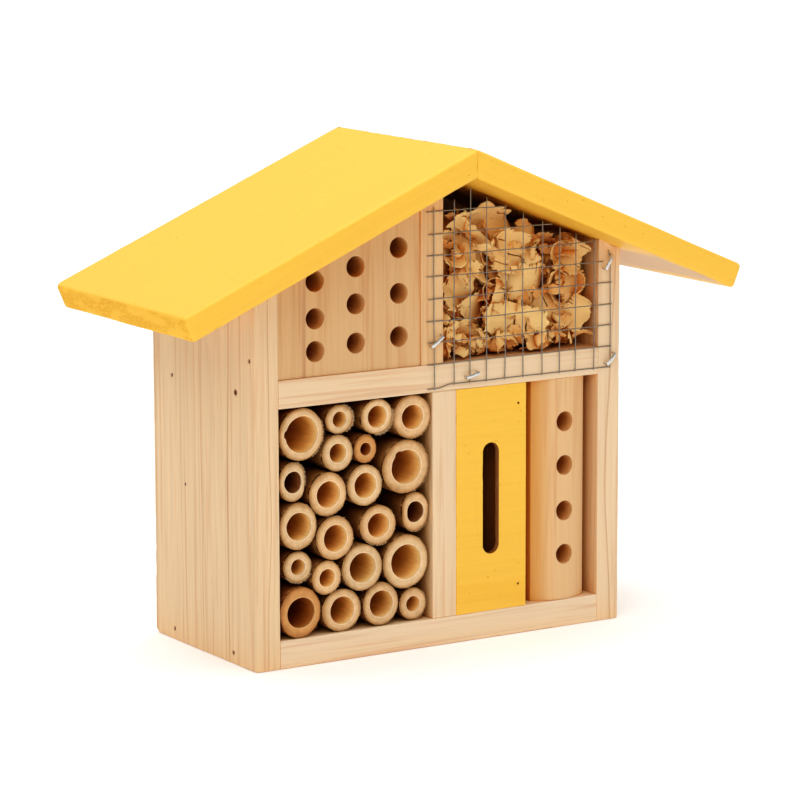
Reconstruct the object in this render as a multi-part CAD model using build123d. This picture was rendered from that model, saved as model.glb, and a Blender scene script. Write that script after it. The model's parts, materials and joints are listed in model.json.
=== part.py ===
from build123d import *
from collections import namedtuple
import math
import os

# A wooden insect hotel: an open-fronted box of pine boards with two storeys, under a gable roof of two
# painted boards. Lengths are in millimetres. X runs across the front, the front faces -Y, and +Z is up.
# The origin is under the middle of the whole object, on the surface that it stands on.

# Body
body_width = 200.0
body_depth = 95.5
wall_thickness = 12.5
base_thickness = 13.0
shelf_underside = 120.0
shelf_thickness = 13.0
back_thickness = 8.0
board_edge_radius = 0.8
lower_divider_left = -5.5
lower_divider_thickness = 13.0
upper_divider_left = -11.5
upper_divider_thickness = 12.0

# Roof
roof_slope = 23.0
ridge_height = 234.5
roof_board_length = 164.0
roof_board_thickness = 12.0
roof_board_depth = 120.0
roof_front_overhang = 29.5
roof_edge_radius = 1.5

# Block with nine nesting holes, in three columns of (x, (heights of the hole centres))
nesting_hole_diameter = 9.5
block_setback = 1.0
block_hole_depth = 70.0
block_roof_gap = 0.3
block_hole_columns = [
    (-67.5, (144.5, 159.5, 176.5)),
    (-46.0, (146.5, 164.5, 181.5)),
    (-23.0, (147.5, 167.5, 188.5)),
]

# Block with a round front and a column of four nesting holes
round_block_middle = 67.5
round_block_width = 30.0
round_front_radius = 26.5
round_block_setback = 0.5
round_hole_x = 69.0
round_hole_heights = (35.0, 56.0, 78.0, 99.0)
round_hole_depth = 60.0

# Thin painted panel with a slot, and the partition that its right edge is pinned to
panel_width = 39.0
panel_thickness = 3.0
slot_middle = (26.7, 66.8)
slot_width = 9.0
slot_length = 53.0
partition_thickness = 8.5

# Bamboo canes, in layers from the bottom. A cane is slightly oval outside and has a round bore.
# setback is how far its cut end stands behind the body's front.
Cane = namedtuple("Cane", "x height_above_base width tallness bore setback")
cane_length = 85.0
canes = [
    Cane(-76.5, 12.0, 21.5, 24.0, 14.5, 0.0),
    Cane(-54.0, 10.1, 21.0, 20.0, 13.0, 1.0),
    Cane(-33.0, 10.5, 19.0, 20.5, 12.5, 1.0),
    Cane(-15.0, 8.0, 14.5, 15.5, 7.5, 2.0),
    Cane(-77.0, 33.0, 15.0, 14.5, 7.5, 1.5),
    Cane(-62.5, 26.5, 15.5, 16.0, 8.5, 0.0),
    Cane(-43.5, 29.0, 21.5, 22.0, 14.0, 0.0),
    Cane(-19.0, 28.5, 24.5, 25.5, 16.5, 1.5),
    Cane(-77.0, 52.0, 19.5, 22.0, 13.0, 0.5),
    Cane(-58.0, 44.5, 20.0, 20.5, 12.5, 0.0),
    Cane(-34.0, 47.5, 19.5, 19.0, 11.5, 1.5),
    Cane(-14.0, 51.5, 16.0, 18.5, 10.0, 2.0),
    Cane(-79.0, 72.5, 15.0, 18.5, 10.0, 1.5),
    Cane(-61.0, 65.0, 20.0, 20.5, 12.5, 1.0),
    Cane(-41.0, 67.0, 19.0, 19.5, 12.0, 1.5),
    Cane(-19.5, 73.5, 25.0, 25.5, 16.0, 0.5),
    Cane(-74.5, 94.0, 23.5, 24.5, 17.0, 1.5),
    Cane(-55.5, 83.5, 16.5, 17.0, 9.0, 1.5),
    Cane(-41.0, 84.0, 12.0, 13.5, 6.0, 1.0),
    Cane(-54.5, 99.0, 14.5, 13.5, 7.5, 1.5),
    Cane(-35.0, 98.5, 17.0, 16.5, 10.5, 0.5),
    Cane(-16.0, 96.5, 20.5, 20.5, 11.5, 0.5),
]

# Wire mesh in front of the upper right compartment, cut along the roof's slope
wire_diameter = 0.6
mesh_pitch = 10.0
mesh_left_wire = -5.6
mesh_bottom_wire = 123.2
mesh_columns = 11
mesh_rows = 9
mesh_left_end = -9.0
mesh_right_end = 95.0
mesh_roof_gap = 2.5
mesh_wood_gap = 0.05
weld_depth = 0.1

# Staples over the mesh, as the (x, z) of the two legs
staple_wire_width = 0.8
staple_wire_thickness = 0.6
staple_leg_length = 8.0
staple_legs = [
    ((90.1, 170.0), (93.6, 176.8)),
    ((91.2, 124.6), (95.8, 129.4)),
    ((12.0, 125.6), (18.8, 127.2)),
    ((-7.1, 141.6), (-1.0, 146.2)),
]

# Heap of wood shavings, by the (x, z) corners of its outline and its gap to the boards in front and behind
shavings_outline = [(1.5, 134.0), (86.5, 134.0), (86.5, 181.0), (40.0, 199.0), (1.5, 205.0)]
shavings_front_gap = 6.0
shavings_back_gap = 1.0

# Nails and pins, as head diameter, head height, shank diameter and length
Fastener = namedtuple("Fastener", "head head_height shank length")
wall_nail = Fastener(2.6, 1.0, 1.6, 25.0)
roof_nail = Fastener(2.6, 1.0, 1.6, 35.0)
thin_nail = Fastener(2.2, 0.8, 1.2, 18.0)
panel_pin = Fastener(1.4, 0.6, 1.0, 15.0)
nail_sink = 0.5
roof_nail_sink = 1.5

# Where the nails and pins stand. Depths are measured back from the body's front.
wall_nail_places = [(17.0, 126.5), (77.0, 126.0), (21.5, 5.0), (77.5, 5.0)]
block_nail_place = (4.5, 142.5)
roof_nail_depths = (12.0, 44.0, 76.0)
base_nail_depths = (30.0, 70.0)
shelf_nail_depths = (25.0, 65.0)
divider_nail_inset = 3.0
back_nail_columns = (-60.0, -25.0, 25.0, 60.0)
back_nail_divider_heights = (66.0, 180.0)
panel_pin_heights = (24.0, 110.5)

# How far a cutter runs past the face that it cuts
cut_margin = 1.0

# Places that follow from the sizes above
overall_depth = roof_front_overhang + body_depth
roof_front_y = -overall_depth / 2
front_y = roof_front_y + roof_front_overhang
rear_y = overall_depth / 2
back_panel_y = rear_y - back_thickness
half_width = body_width / 2
inner_half_width = half_width - wall_thickness
shelf_top = shelf_underside + shelf_thickness
lower_divider_right = lower_divider_left + lower_divider_thickness
upper_divider_right = upper_divider_left + upper_divider_thickness
panel_left = lower_divider_right
panel_right = panel_left + panel_width
partition_left = panel_right - partition_thickness
slope_rise = math.tan(math.radians(roof_slope))
roof_underside_at_ridge = ridge_height - roof_board_thickness / math.cos(math.radians(roof_slope))


def roof_underside(x):
    """Height of the roof boards' lower face at a distance x from the ridge."""
    return roof_underside_at_ridge - abs(x) * slope_rise


def prism(outline, y_front, y_back):
    """Solid with the given (x, z) outline, between two depths."""
    wire = Wire.make_polygon([(x, y_front, z) for x, z in outline], close=True)
    return extrude(Face(wire), amount=y_back - y_front, dir=(0, 1, 0))


def slab(x_left, x_right, y_front, y_back, z_low, z_high):
    """Rectangular board."""
    return prism([(x_left, z_low), (x_right, z_low), (x_right, z_high), (x_left, z_high)], y_front, y_back)


def rod_along_y(x, z, diameter, y_front, y_back):
    """Round bar from y_front to y_back."""
    bar = Cylinder(diameter / 2, y_back - y_front)
    return Pos(x, (y_front + y_back) / 2, z) * Rot(90, 0, 0) * bar


def nesting_hole(x, z, y_mouth, depth):
    """Cutter for a blind hole drilled from the front."""
    return rod_along_y(x, z, nesting_hole_diameter, y_mouth - cut_margin, y_mouth + depth)


def side_wall(side):
    """Outer wall with its top cut to the roof's slope. side is -1 for the left, 1 for the right."""
    outline = [
        (side * inner_half_width, 0),
        (side * half_width, 0),
        (side * half_width, roof_underside(half_width)),
        (side * inner_half_width, roof_underside(inner_half_width)),
    ]
    wall = prism(outline, front_y, rear_y)
    outer = [e for e in wall.edges().filter_by(Axis.Z) if abs(abs(e.center().X) - half_width) < 0.01]
    return fillet(outer, board_edge_radius)


def level_board(z_low, z_high):
    """Board that lies between the side walls, in front of the back panel."""
    return slab(-inner_half_width, inner_half_width, front_y, back_panel_y, z_low, z_high)


def lower_upright(x_left, x_right, y_front):
    """Board that stands between the base and the shelf."""
    return slab(x_left, x_right, y_front, back_panel_y, base_thickness, shelf_underside)


def upper_divider():
    """Board under the ridge, its top cut to both slopes."""
    outline = [
        (upper_divider_left, shelf_top),
        (upper_divider_right, shelf_top),
        (upper_divider_right, roof_underside(upper_divider_right)),
        (0, roof_underside(0)),
        (upper_divider_left, roof_underside(upper_divider_left)),
    ]
    return prism(outline, front_y, back_panel_y)


def back_panel():
    """Gable-shaped panel between the side walls, flush with their rear edges."""
    outline = [
        (-inner_half_width, 0),
        (inner_half_width, 0),
        (inner_half_width, roof_underside(inner_half_width)),
        (0, roof_underside(0)),
        (-inner_half_width, roof_underside(inner_half_width)),
    ]
    return prism(outline, back_panel_y, rear_y)


def roof_board(side):
    """Roof board with a square-cut eave and a mitre at the ridge."""
    run = math.cos(math.radians(roof_slope))
    fall = math.sin(math.radians(roof_slope))
    eave_x = roof_board_length * run
    eave_z = ridge_height - roof_board_length * fall
    outline = [
        (0, ridge_height),
        (side * eave_x, eave_z),
        (side * (eave_x - roof_board_thickness * fall), eave_z - roof_board_thickness * run),
        (0, roof_underside(0)),
    ]
    board = prism(outline, roof_front_y, roof_front_y + roof_board_depth)
    eave = [e for e in board.edges().filter_by(Axis.Y) if abs(e.center().X) > eave_x - roof_board_thickness]
    return fillet(eave, roof_edge_radius)


def drilled_block():
    """Block that fills the upper left compartment, with nine nesting holes."""
    block_front = front_y + block_setback
    outline = [
        (-inner_half_width, shelf_top),
        (upper_divider_left, shelf_top),
        (upper_divider_left, roof_underside(upper_divider_left) - block_roof_gap),
        (-inner_half_width, roof_underside(inner_half_width) - block_roof_gap),
    ]
    block = prism(outline, block_front, back_panel_y)
    for x, heights in block_hole_columns:
        for z in heights:
            block -= nesting_hole(x, z, block_front, block_hole_depth)
    return block


def round_front_block():
    """Upright block whose front is an arc, with four nesting holes."""
    crest_y = front_y + round_block_setback
    left = round_block_middle - round_block_width / 2
    right = round_block_middle + round_block_width / 2
    log = Pos(round_block_middle, crest_y + round_front_radius, base_thickness) * Cylinder(
        round_front_radius,
        shelf_underside - base_thickness,
        align=(Align.CENTER, Align.CENTER, Align.MIN),
    )
    front_part = log & slab(left, right, crest_y - cut_margin, crest_y + round_front_radius, 0, ridge_height)
    rear_part = slab(left, right, crest_y + round_front_radius, back_panel_y, base_thickness, shelf_underside)
    block = front_part + rear_part
    for z in round_hole_heights:
        block -= nesting_hole(round_hole_x, z, crest_y, round_hole_depth)
    return block


def slotted_panel():
    """Thin panel, flush with the body's front, with one upright slot with round ends."""
    panel = slab(panel_left, panel_right, front_y, front_y + panel_thickness, base_thickness, shelf_underside)
    x, z = slot_middle
    half_slot = slot_width / 2
    straight = (slot_length - slot_width) / 2
    cut_front = front_y - cut_margin
    cut_back = front_y + panel_thickness + cut_margin
    panel -= slab(x - half_slot, x + half_slot, cut_front, cut_back, z - straight, z + straight)
    for end in (z - straight, z + straight):
        panel -= rod_along_y(x, end, slot_width, cut_front, cut_back)
    return panel


def bamboo_cane(cane):
    """Length of bamboo, open at both ends."""
    middle = (cane.x, front_y + cane.setback, base_thickness + cane.height_above_base)
    place = Plane(origin=middle, x_dir=(1, 0, 0), z_dir=(0, 1, 0))
    outside = Ellipse(cane.width / 2, cane.tallness / 2)
    section = outside - Circle(cane.bore / 2)
    return extrude(place * section, amount=cane_length)


def wood_shavings():
    """Closed outer shape of the loose heap, clear of the boards around it."""
    return prism(shavings_outline, front_y + shavings_front_gap, back_panel_y - shavings_back_gap)


def wire_mesh():
    """Welded mesh: horizontal wires against the wood, and vertical wires in front of them."""
    row_y = front_y - mesh_wood_gap - wire_diameter / 2
    column_y = row_y - wire_diameter + weld_depth
    bottom_end = mesh_bottom_wire - wire_diameter
    wires = []
    for column in range(mesh_columns):
        x = mesh_left_wire + column * mesh_pitch
        top_end = roof_underside(x) - mesh_roof_gap
        if column == mesh_columns - 1:
            top_end = staple_legs[0][1][1] - staple_wire_width - wire_diameter
        length = top_end - bottom_end
        wires.append(Pos(x, column_y, bottom_end + length / 2) * Cylinder(wire_diameter / 2, length))
    for row in range(mesh_rows):
        z = mesh_bottom_wire + row * mesh_pitch
        under_slope = (roof_underside_at_ridge - mesh_roof_gap - z) / slope_rise
        right_end = min(mesh_right_end, under_slope)
        if row == 0:
            right_end = staple_legs[1][0][0] - staple_wire_width - wire_diameter
        length = right_end - mesh_left_end
        row_wire = Rot(0, 90, 0) * Cylinder(wire_diameter / 2, length)
        wires.append(Pos(mesh_left_end + length / 2, row_y, z) * row_wire)
    return wires[0].fuse(*wires[1:])


def staple(legs):
    """Flat-wire staple whose crown lies over the mesh."""
    (x_a, z_a), (x_b, z_b) = legs
    span = math.hypot(x_b - x_a, z_b - z_a)
    tilt = math.degrees(math.atan2(z_b - z_a, x_b - x_a))
    crown_back = front_y - mesh_wood_gap - 2 * wire_diameter
    crown = Pos(0, -staple_wire_thickness / 2, 0) * Box(
        span + staple_wire_thickness, staple_wire_thickness, staple_wire_width
    )
    leg_length = staple_leg_length + front_y - crown_back
    from_crown = (Align.CENTER, Align.MIN, Align.CENTER)
    leg = Box(staple_wire_thickness, leg_length, staple_wire_width, align=from_crown)
    shape = crown + Pos(-span / 2, 0, 0) * leg + Pos(span / 2, 0, 0) * leg
    return Pos((x_a + x_b) / 2, crown_back, (z_a + z_b) / 2) * Rot(0, -tilt, 0) * shape


def nail(kind, head_at, towards):
    """Nail driven from the outer face of its head, at head_at, along towards."""
    upright = (Align.CENTER, Align.CENTER, Align.MIN)
    shape = Cylinder(kind.head / 2, kind.head_height, align=upright)
    shape += Cylinder(kind.shank / 2, kind.length, align=upright)
    return Plane(origin=head_at, z_dir=towards) * shape


def wall_nails(side):
    """Nails through a side wall, into the shelf, the base and, on the left, the drilled block."""
    x = side * (half_width - nail_sink)
    places = list(wall_nail_places)
    if side < 0:
        places.append(block_nail_place)
    return [nail(wall_nail, (x, front_y + depth, z), (-side, 0, 0)) for depth, z in places]


def roof_nails():
    """Nails down through the roof boards into the side walls and the upper divider."""
    wall_middle = (half_width + inner_half_width) / 2
    divider_middle = (upper_divider_left + upper_divider_right) / 2
    nails = []
    for x in (-wall_middle, wall_middle, divider_middle):
        top = ridge_height - abs(x) * slope_rise - roof_nail_sink
        for depth in roof_nail_depths:
            nails.append(nail(roof_nail, (x, front_y + depth, top), (0, 0, -1)))
    return nails


def base_nails():
    """Nails up through the base into the lower divider, the partition and the round-fronted block."""
    divider_middle = (lower_divider_left + lower_divider_right) / 2
    partition_middle = (partition_left + panel_right) / 2
    nails = []
    for x in (divider_middle, partition_middle, round_block_middle):
        for depth in base_nail_depths:
            nails.append(nail(wall_nail, (x, front_y + depth, nail_sink), (0, 0, 1)))
    return nails


def shelf_nails():
    """Nails through the shelf.

    They run down into the lower divider and the round-fronted block, and up into the upper divider.
    """
    top = shelf_top - nail_sink
    bottom = shelf_underside + nail_sink
    nails = []
    for depth in shelf_nail_depths:
        y = front_y + depth
        nails.append(nail(wall_nail, (lower_divider_right - divider_nail_inset, y, top), (0, 0, -1)))
        nails.append(nail(wall_nail, (round_block_middle, y, top), (0, 0, -1)))
        nails.append(nail(wall_nail, (upper_divider_left + divider_nail_inset, y, bottom), (0, 0, 1)))
    return nails


def back_panel_nails():
    """Nails from behind into the base, the shelf and the dividers."""
    y = rear_y - nail_sink
    lower_height, upper_height = back_nail_divider_heights
    places = [
        ((lower_divider_left + lower_divider_right) / 2, lower_height),
        ((upper_divider_left + upper_divider_right) / 2, upper_height),
    ]
    for z in (base_thickness / 2, shelf_underside + shelf_thickness / 2):
        for x in back_nail_columns:
            places.append((x, z))
    return [nail(thin_nail, (x, y, z), (0, -1, 0)) for x, z in places]


def panel_pins():
    """Pins through the slotted panel into the partition behind its right edge."""
    x = (partition_left + panel_right) / 2
    return [nail(panel_pin, (x, front_y + nail_sink, z), (0, 1, 0)) for z in panel_pin_heights]


def write(name, shape):
    """Writes one piece, or one group of separate pieces, to its own file."""
    shape.label = name
    export_step(shape, os.path.join("parts", name + ".step"))


os.makedirs("parts", exist_ok=True)

write("left_wall", side_wall(-1))
write("right_wall", side_wall(1))
write("base_board", level_board(0, base_thickness))
write("shelf", level_board(shelf_underside, shelf_top))
write("lower_divider", lower_upright(lower_divider_left, lower_divider_right, front_y))
write("upper_divider", upper_divider())
write("back_panel", back_panel())
write("roof_board_left", roof_board(-1))
write("roof_board_right", roof_board(1))
write("drilled_block", drilled_block())
write("round_front_block", round_front_block())
write("slotted_panel", slotted_panel())
write("panel_partition", lower_upright(partition_left, panel_right, front_y + panel_thickness))
for number, cane in enumerate(canes, start=1):
    write(f"bamboo_cane_{number:02d}", bamboo_cane(cane))
write("wood_shavings", wood_shavings())
write("wire_mesh", wire_mesh())
write("mesh_staples", Compound(children=[staple(legs) for legs in staple_legs]))
write("left_wall_nails", Compound(children=wall_nails(-1)))
write("right_wall_nails", Compound(children=wall_nails(1)))
write("roof_nails", Compound(children=roof_nails()))
write("base_nails", Compound(children=base_nails()))
write("shelf_nails", Compound(children=shelf_nails()))
write("back_panel_nails", Compound(children=back_panel_nails()))
write("panel_pins", Compound(children=panel_pins()))
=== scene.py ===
import json
import math
import random

import bmesh
import bpy
from mathutils import Matrix, Quaternion, Vector, noise


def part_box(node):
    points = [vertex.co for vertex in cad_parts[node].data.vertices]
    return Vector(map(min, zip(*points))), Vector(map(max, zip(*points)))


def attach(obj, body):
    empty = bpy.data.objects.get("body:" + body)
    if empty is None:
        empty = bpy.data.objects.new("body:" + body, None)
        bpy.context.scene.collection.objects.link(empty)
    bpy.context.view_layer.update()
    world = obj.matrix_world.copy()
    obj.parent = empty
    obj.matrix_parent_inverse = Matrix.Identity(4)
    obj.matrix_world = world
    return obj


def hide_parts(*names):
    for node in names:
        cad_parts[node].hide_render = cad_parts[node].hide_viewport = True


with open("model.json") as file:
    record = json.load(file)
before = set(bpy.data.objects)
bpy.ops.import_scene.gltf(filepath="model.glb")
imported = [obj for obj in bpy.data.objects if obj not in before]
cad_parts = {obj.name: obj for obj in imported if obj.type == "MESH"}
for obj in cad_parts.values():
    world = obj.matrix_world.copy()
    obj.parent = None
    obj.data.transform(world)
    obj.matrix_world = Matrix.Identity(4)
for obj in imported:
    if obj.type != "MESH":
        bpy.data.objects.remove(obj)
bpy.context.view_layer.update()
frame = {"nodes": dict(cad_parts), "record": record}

# The looks of a wooden insect hotel: an open-fronted pine box under a yellow gable roof. Lengths are in
# metres, X runs across the front, the front faces -Y, and +Z is up. Boards, blocks, canes, staples and nails
# stand where the CAD frame has them. The wires and the front shavings are placed by lists in this script,
# and the other shavings by seeded random draws.
MM = 0.001
X, Y, Z = 0, 1, 2
RECORD = frame["record"]
MOUNTS = {mount["name"]: mount for mount in RECORD["mounts"]}
OPENINGS = {opening["name"]: opening for opening in RECORD["physics"]["openings"]}
FRONT_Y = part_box("shelf")[0].y
ROOF_SLOPE = math.radians(23.0)
ROOF_RISE = math.tan(ROOF_SLOPE)
ROOF_UNDER_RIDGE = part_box("back_panel")[1].z

# Wood
BOARD_EASE = 0.35 * MM
WALL_EASE = 1.0 * MM
ROOF_EASE = 1.6 * MM
GRID = 2.6 * MM
NESTING_HOLE_RADIUS = 4.75 * MM
# Corners higher than this lie under the roof
UNDER_ROOF = 180 * MM
# The eaves are farther out than this
EAVE_OUT = 140 * MM

# Colours, as linear red, green and blue
PINE = (0.80, 0.585, 0.36)
PINE_PALE = (0.80, 0.60, 0.39)
PINE_BASE = (0.81, 0.64, 0.45)
# Painted light: the partition's pine is lighter than the other boards, to lift the gap where little light
# reaches.
PINE_PARTITION_PAINTED_LIGHT = (0.96, 0.74, 0.44)
PINE_WARM = (0.69, 0.44, 0.22)
PINE_AMBER = (0.76, 0.495, 0.255)
# Painted shade: bare pine of the roof undersides, darker than the walls' pine.
PINE_UNDERSIDE_SHADED = (0.64, 0.40, 0.18)
PINE_LATE = (0.56, 0.30, 0.145)
PINE_DARK = (0.30, 0.14, 0.055)
YELLOW = (0.90, 0.535, 0.066)
YELLOW_DEEP = (0.86, 0.38, 0.010)
YELLOW_SOAKED = (0.78, 0.36, 0.008)
STAIN = (0.045, 0.018, 0.008)
STREAK = (0.86, 0.68, 0.58)
# Dark brown of bare core wood, partly its own colour and partly painted shade; it also serves as painted
# shade on the partition.
CORE_BROWN_AND_SHADE = (0.31, 0.105, 0.020)
BAMBOO_END = (0.72, 0.495, 0.275)
BAMBOO_RIM = (0.88, 0.68, 0.43)
BAMBOO_SKIN = (0.45, 0.235, 0.08)
BAMBOO_BORE = (0.83, 0.61, 0.28)
BAMBOO_DARK_BORE = (0.26, 0.105, 0.035)
BROWN_END = (0.62, 0.31, 0.11)
BROWN_RIM = (0.74, 0.43, 0.18)
BROWN_SKIN = (0.42, 0.17, 0.045)
BROWN_BORE = (0.42, 0.16, 0.035)
SHAVING = (1.0, 0.69, 0.29)
# Deeper orange of the shavings, partly their own colour and partly painted shade on those further back.
SHAVING_DEEP = (0.97, 0.44, 0.11)
ZINC = (0.30, 0.27, 0.23)
STAPLE_STEEL = (0.64, 0.63, 0.61)
NAIL_STEEL = (0.022, 0.012, 0.008)


# --- mesh helpers -------------------------------------------------------------------------------------

def wander(point, scale, seed=0.0, octaves=3):
    """Smooth noise from about -1 to 1, with features about 1 / scale metres across."""
    place = Vector(point) * scale + Vector((seed * 17.3, seed * 5.1, seed * 9.7))
    return noise.fractal(place, 1.0, 2.0, octaves)


def smoothstep(low, high, value):
    t = min(1.0, max(0.0, (value - low) / (high - low)))
    return t * t * (3 - 2 * t)


def add_object(name, bm, materials, smooth=True):
    """Object from a bmesh, with its materials."""
    mesh = bpy.data.meshes.new(name)
    bm.to_mesh(mesh)
    bm.free()
    for material in materials:
        mesh.materials.append(material)
    if smooth:
        mesh.shade_smooth()
    obj = bpy.data.objects.new(name, mesh)
    bpy.context.scene.collection.objects.link(obj)
    return obj


def stand_for(obj, slot, *nodes):
    """Puts a piece on the body, in place of CAD nodes."""
    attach(obj, "root")
    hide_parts(*nodes)
    return obj


def hull_of(points):
    """Corners of the convex outline round 2-D points, anticlockwise, without those on a straight side."""
    points = sorted(points)
    outline = []
    for order in (points, points[::-1]):
        chain = []
        for point in order:
            while len(chain) > 1:
                (ax, ay), (bx, by) = chain[-2], chain[-1]
                turn = (bx - ax) * (point[1] - by) - (by - ay) * (point[0] - bx)
                if turn > 1e-9:
                    break
                chain.pop()
            chain.append(point)
        outline += chain[:-1]
    return [Vector(point) for point in outline]


def corners_of(node, across, up):
    """Sharp corners of a CAD node's outline, seen along its third axis. Rounded corners are left out."""
    hull = hull_of({(round(v.co[across], 6), round(v.co[up], 6)) for v in frame["nodes"][node].data.vertices})
    sides = []
    for i in range(len(hull)):
        if (hull[(i + 1) % len(hull)] - hull[i]).length > 5 * MM:
            sides.append((hull[i], hull[(i + 1) % len(hull)]))
    corners = []
    for i in range(len(sides)):
        (a, b), (c, d) = sides[i - 1], sides[i]
        normal_a = Vector((b.y - a.y, a.x - b.x))
        along = d - c
        t = normal_a.dot(a - c) / normal_a.dot(along)
        corners.append(c + along * t)
    return corners


def prism(outline, low, high, across, up, through):
    """Closed solid with an outline in two axes, between two places along the third."""
    bm = bmesh.new()
    rings = []
    for depth in (low, high):
        ring = []
        for u, v in outline:
            place = Vector((0, 0, 0))
            place[across], place[up], place[through] = u, v, depth
            ring.append(bm.verts.new(place))
        rings.append(ring)
    bm.faces.new(rings[0])
    bm.faces.new(rings[1])
    for i in range(len(outline)):
        j = (i + 1) % len(outline)
        bm.faces.new((rings[0][i], rings[1][i], rings[1][j], rings[0][j]))
    bmesh.ops.recalc_face_normals(bm, faces=bm.faces)
    return bm


def ease(bm, radius, segments, wanted=lambda edge: True):
    """Rounds the sharp edges that wanted picks."""
    bm.normal_update()
    edges = [e for e in bm.edges if e.calc_face_angle(0.0) > math.radians(25) and wanted(e)]
    bmesh.ops.bevel(bm, geom=edges, offset=radius, segments=segments, profile=0.5, affect="EDGES")


def slice_up(bm, step):
    """Cuts every face into cells of about the given size, without changing the shape."""
    for axis in (X, Y, Z):
        places = [v.co[axis] for v in bm.verts]
        low, high = min(places), max(places)
        count = max(1, round((high - low) / step))
        normal = Vector((0, 0, 0))
        normal[axis] = 1
        for k in range(1, count):
            place = normal * (low + (high - low) * (k + 0.013) / count)
            geom = bm.verts[:] + bm.edges[:] + bm.faces[:]
            bmesh.ops.bisect_plane(bm, geom=geom, dist=1e-7, plane_co=place, plane_no=normal)


def weather(bm, seed, wave, nick):
    """Makes faces slightly uneven and wears small nicks into the edges."""
    bm.normal_update()
    moves = []
    for v in bm.verts:
        sharp = smoothstep(1.005, 1.06, v.calc_shell_factor())
        push = wave * wander(v.co, 22, seed)
        push -= nick * sharp * max(0.0, wander(v.co, 190, seed + 3) - 0.05)
        moves.append(v.normal * push)
    for v, move in zip(bm.verts, moves):
        v.co += move


def subtract(bm, cutter):
    """Takes a closed cutter out of a closed solid, and returns the result."""
    body = add_object("cut_body", bm, [], smooth=False)
    tool = add_object("cut_tool", cutter, [], smooth=False)
    modifier = body.modifiers.new("cut", "BOOLEAN")
    modifier.operation = "DIFFERENCE"
    modifier.solver = "EXACT"
    modifier.object = tool
    graph = bpy.context.evaluated_depsgraph_get()
    result = bmesh.new()
    result.from_mesh(body.evaluated_get(graph).data)
    for obj in (body, tool):
        mesh = obj.data
        bpy.data.objects.remove(obj)
        bpy.data.meshes.remove(mesh)
    return result


def bridge(bm, rings):
    """Faces between each ring of corners and the next."""
    for low, high in zip(rings, rings[1:]):
        for k in range(len(low)):
            after = (k + 1) % len(low)
            bm.faces.new((low[k], low[after], high[after], high[k]))


def lathe(bm, profile, segments, place, ragged=0.0, seed=0.0):
    """Adds a closed turned shape to a bmesh. profile holds (distance along the local Z, radius)."""
    rings = []
    for along, radius in profile:
        ring = []
        for k in range(segments):
            turn = 2 * math.pi * k / segments
            out = Vector((math.cos(turn), math.sin(turn), 0))
            reach = radius * (1 + ragged * wander(out, 2.2, seed + along * 90, 2))
            ring.append(bm.verts.new(place @ (out * reach + Vector((0, 0, along)))))
        rings.append(ring)
    bm.faces.new(list(reversed(rings[0])))
    bm.faces.new(rings[-1])
    bridge(bm, rings)


def facing(origin, direction):
    """Transform that takes the local Z axis to a direction, from an origin."""
    turn = Vector(direction).to_track_quat("Z", "Y")
    return Matrix.Translation(origin) @ turn.to_matrix().to_4x4()


def separate_parts(node):
    """The corner points of each separate solid in a CAD node."""
    bm = bmesh.new()
    bm.from_mesh(frame["nodes"][node].data)
    bmesh.ops.remove_doubles(bm, verts=bm.verts, dist=1e-6)
    left = set(bm.verts)
    parts = []
    for first in bm.verts:
        if first not in left:
            continue
        left.discard(first)
        queue, group = [first], []
        while queue:
            vert = queue.pop()
            group.append(vert.co.copy())
            for edge in vert.link_edges:
                other = edge.other_vert(vert)
                if other in left:
                    left.discard(other)
                    queue.append(other)
        parts.append(group)
    bm.free()
    return parts


def box_of(points):
    """Lowest and highest corner of the box round some points."""
    low = Vector([min(point[i] for point in points) for i in range(3)])
    high = Vector([max(point[i] for point in points) for i in range(3)])
    return low, high


def long_axis(points):
    """(one end, other end, radius) of a long thin solid."""
    middle = sum(points, Vector()) / len(points)

    def product(i, j):
        return sum((p[i] - middle[i]) * (p[j] - middle[j]) for p in points)

    spread = Matrix([[product(i, j) for j in range(3)] for i in range(3)])
    along = Vector((0.3, 0.5, 0.8))
    for _ in range(60):
        along = (spread @ along).normalized()
    reach = [(point - middle).dot(along) for point in points]
    radius = max((point - middle - along * r).length for point, r in zip(points, reach))
    return middle + along * min(reach), middle + along * max(reach), radius


# --- shading helpers ----------------------------------------------------------------------------------

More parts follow.
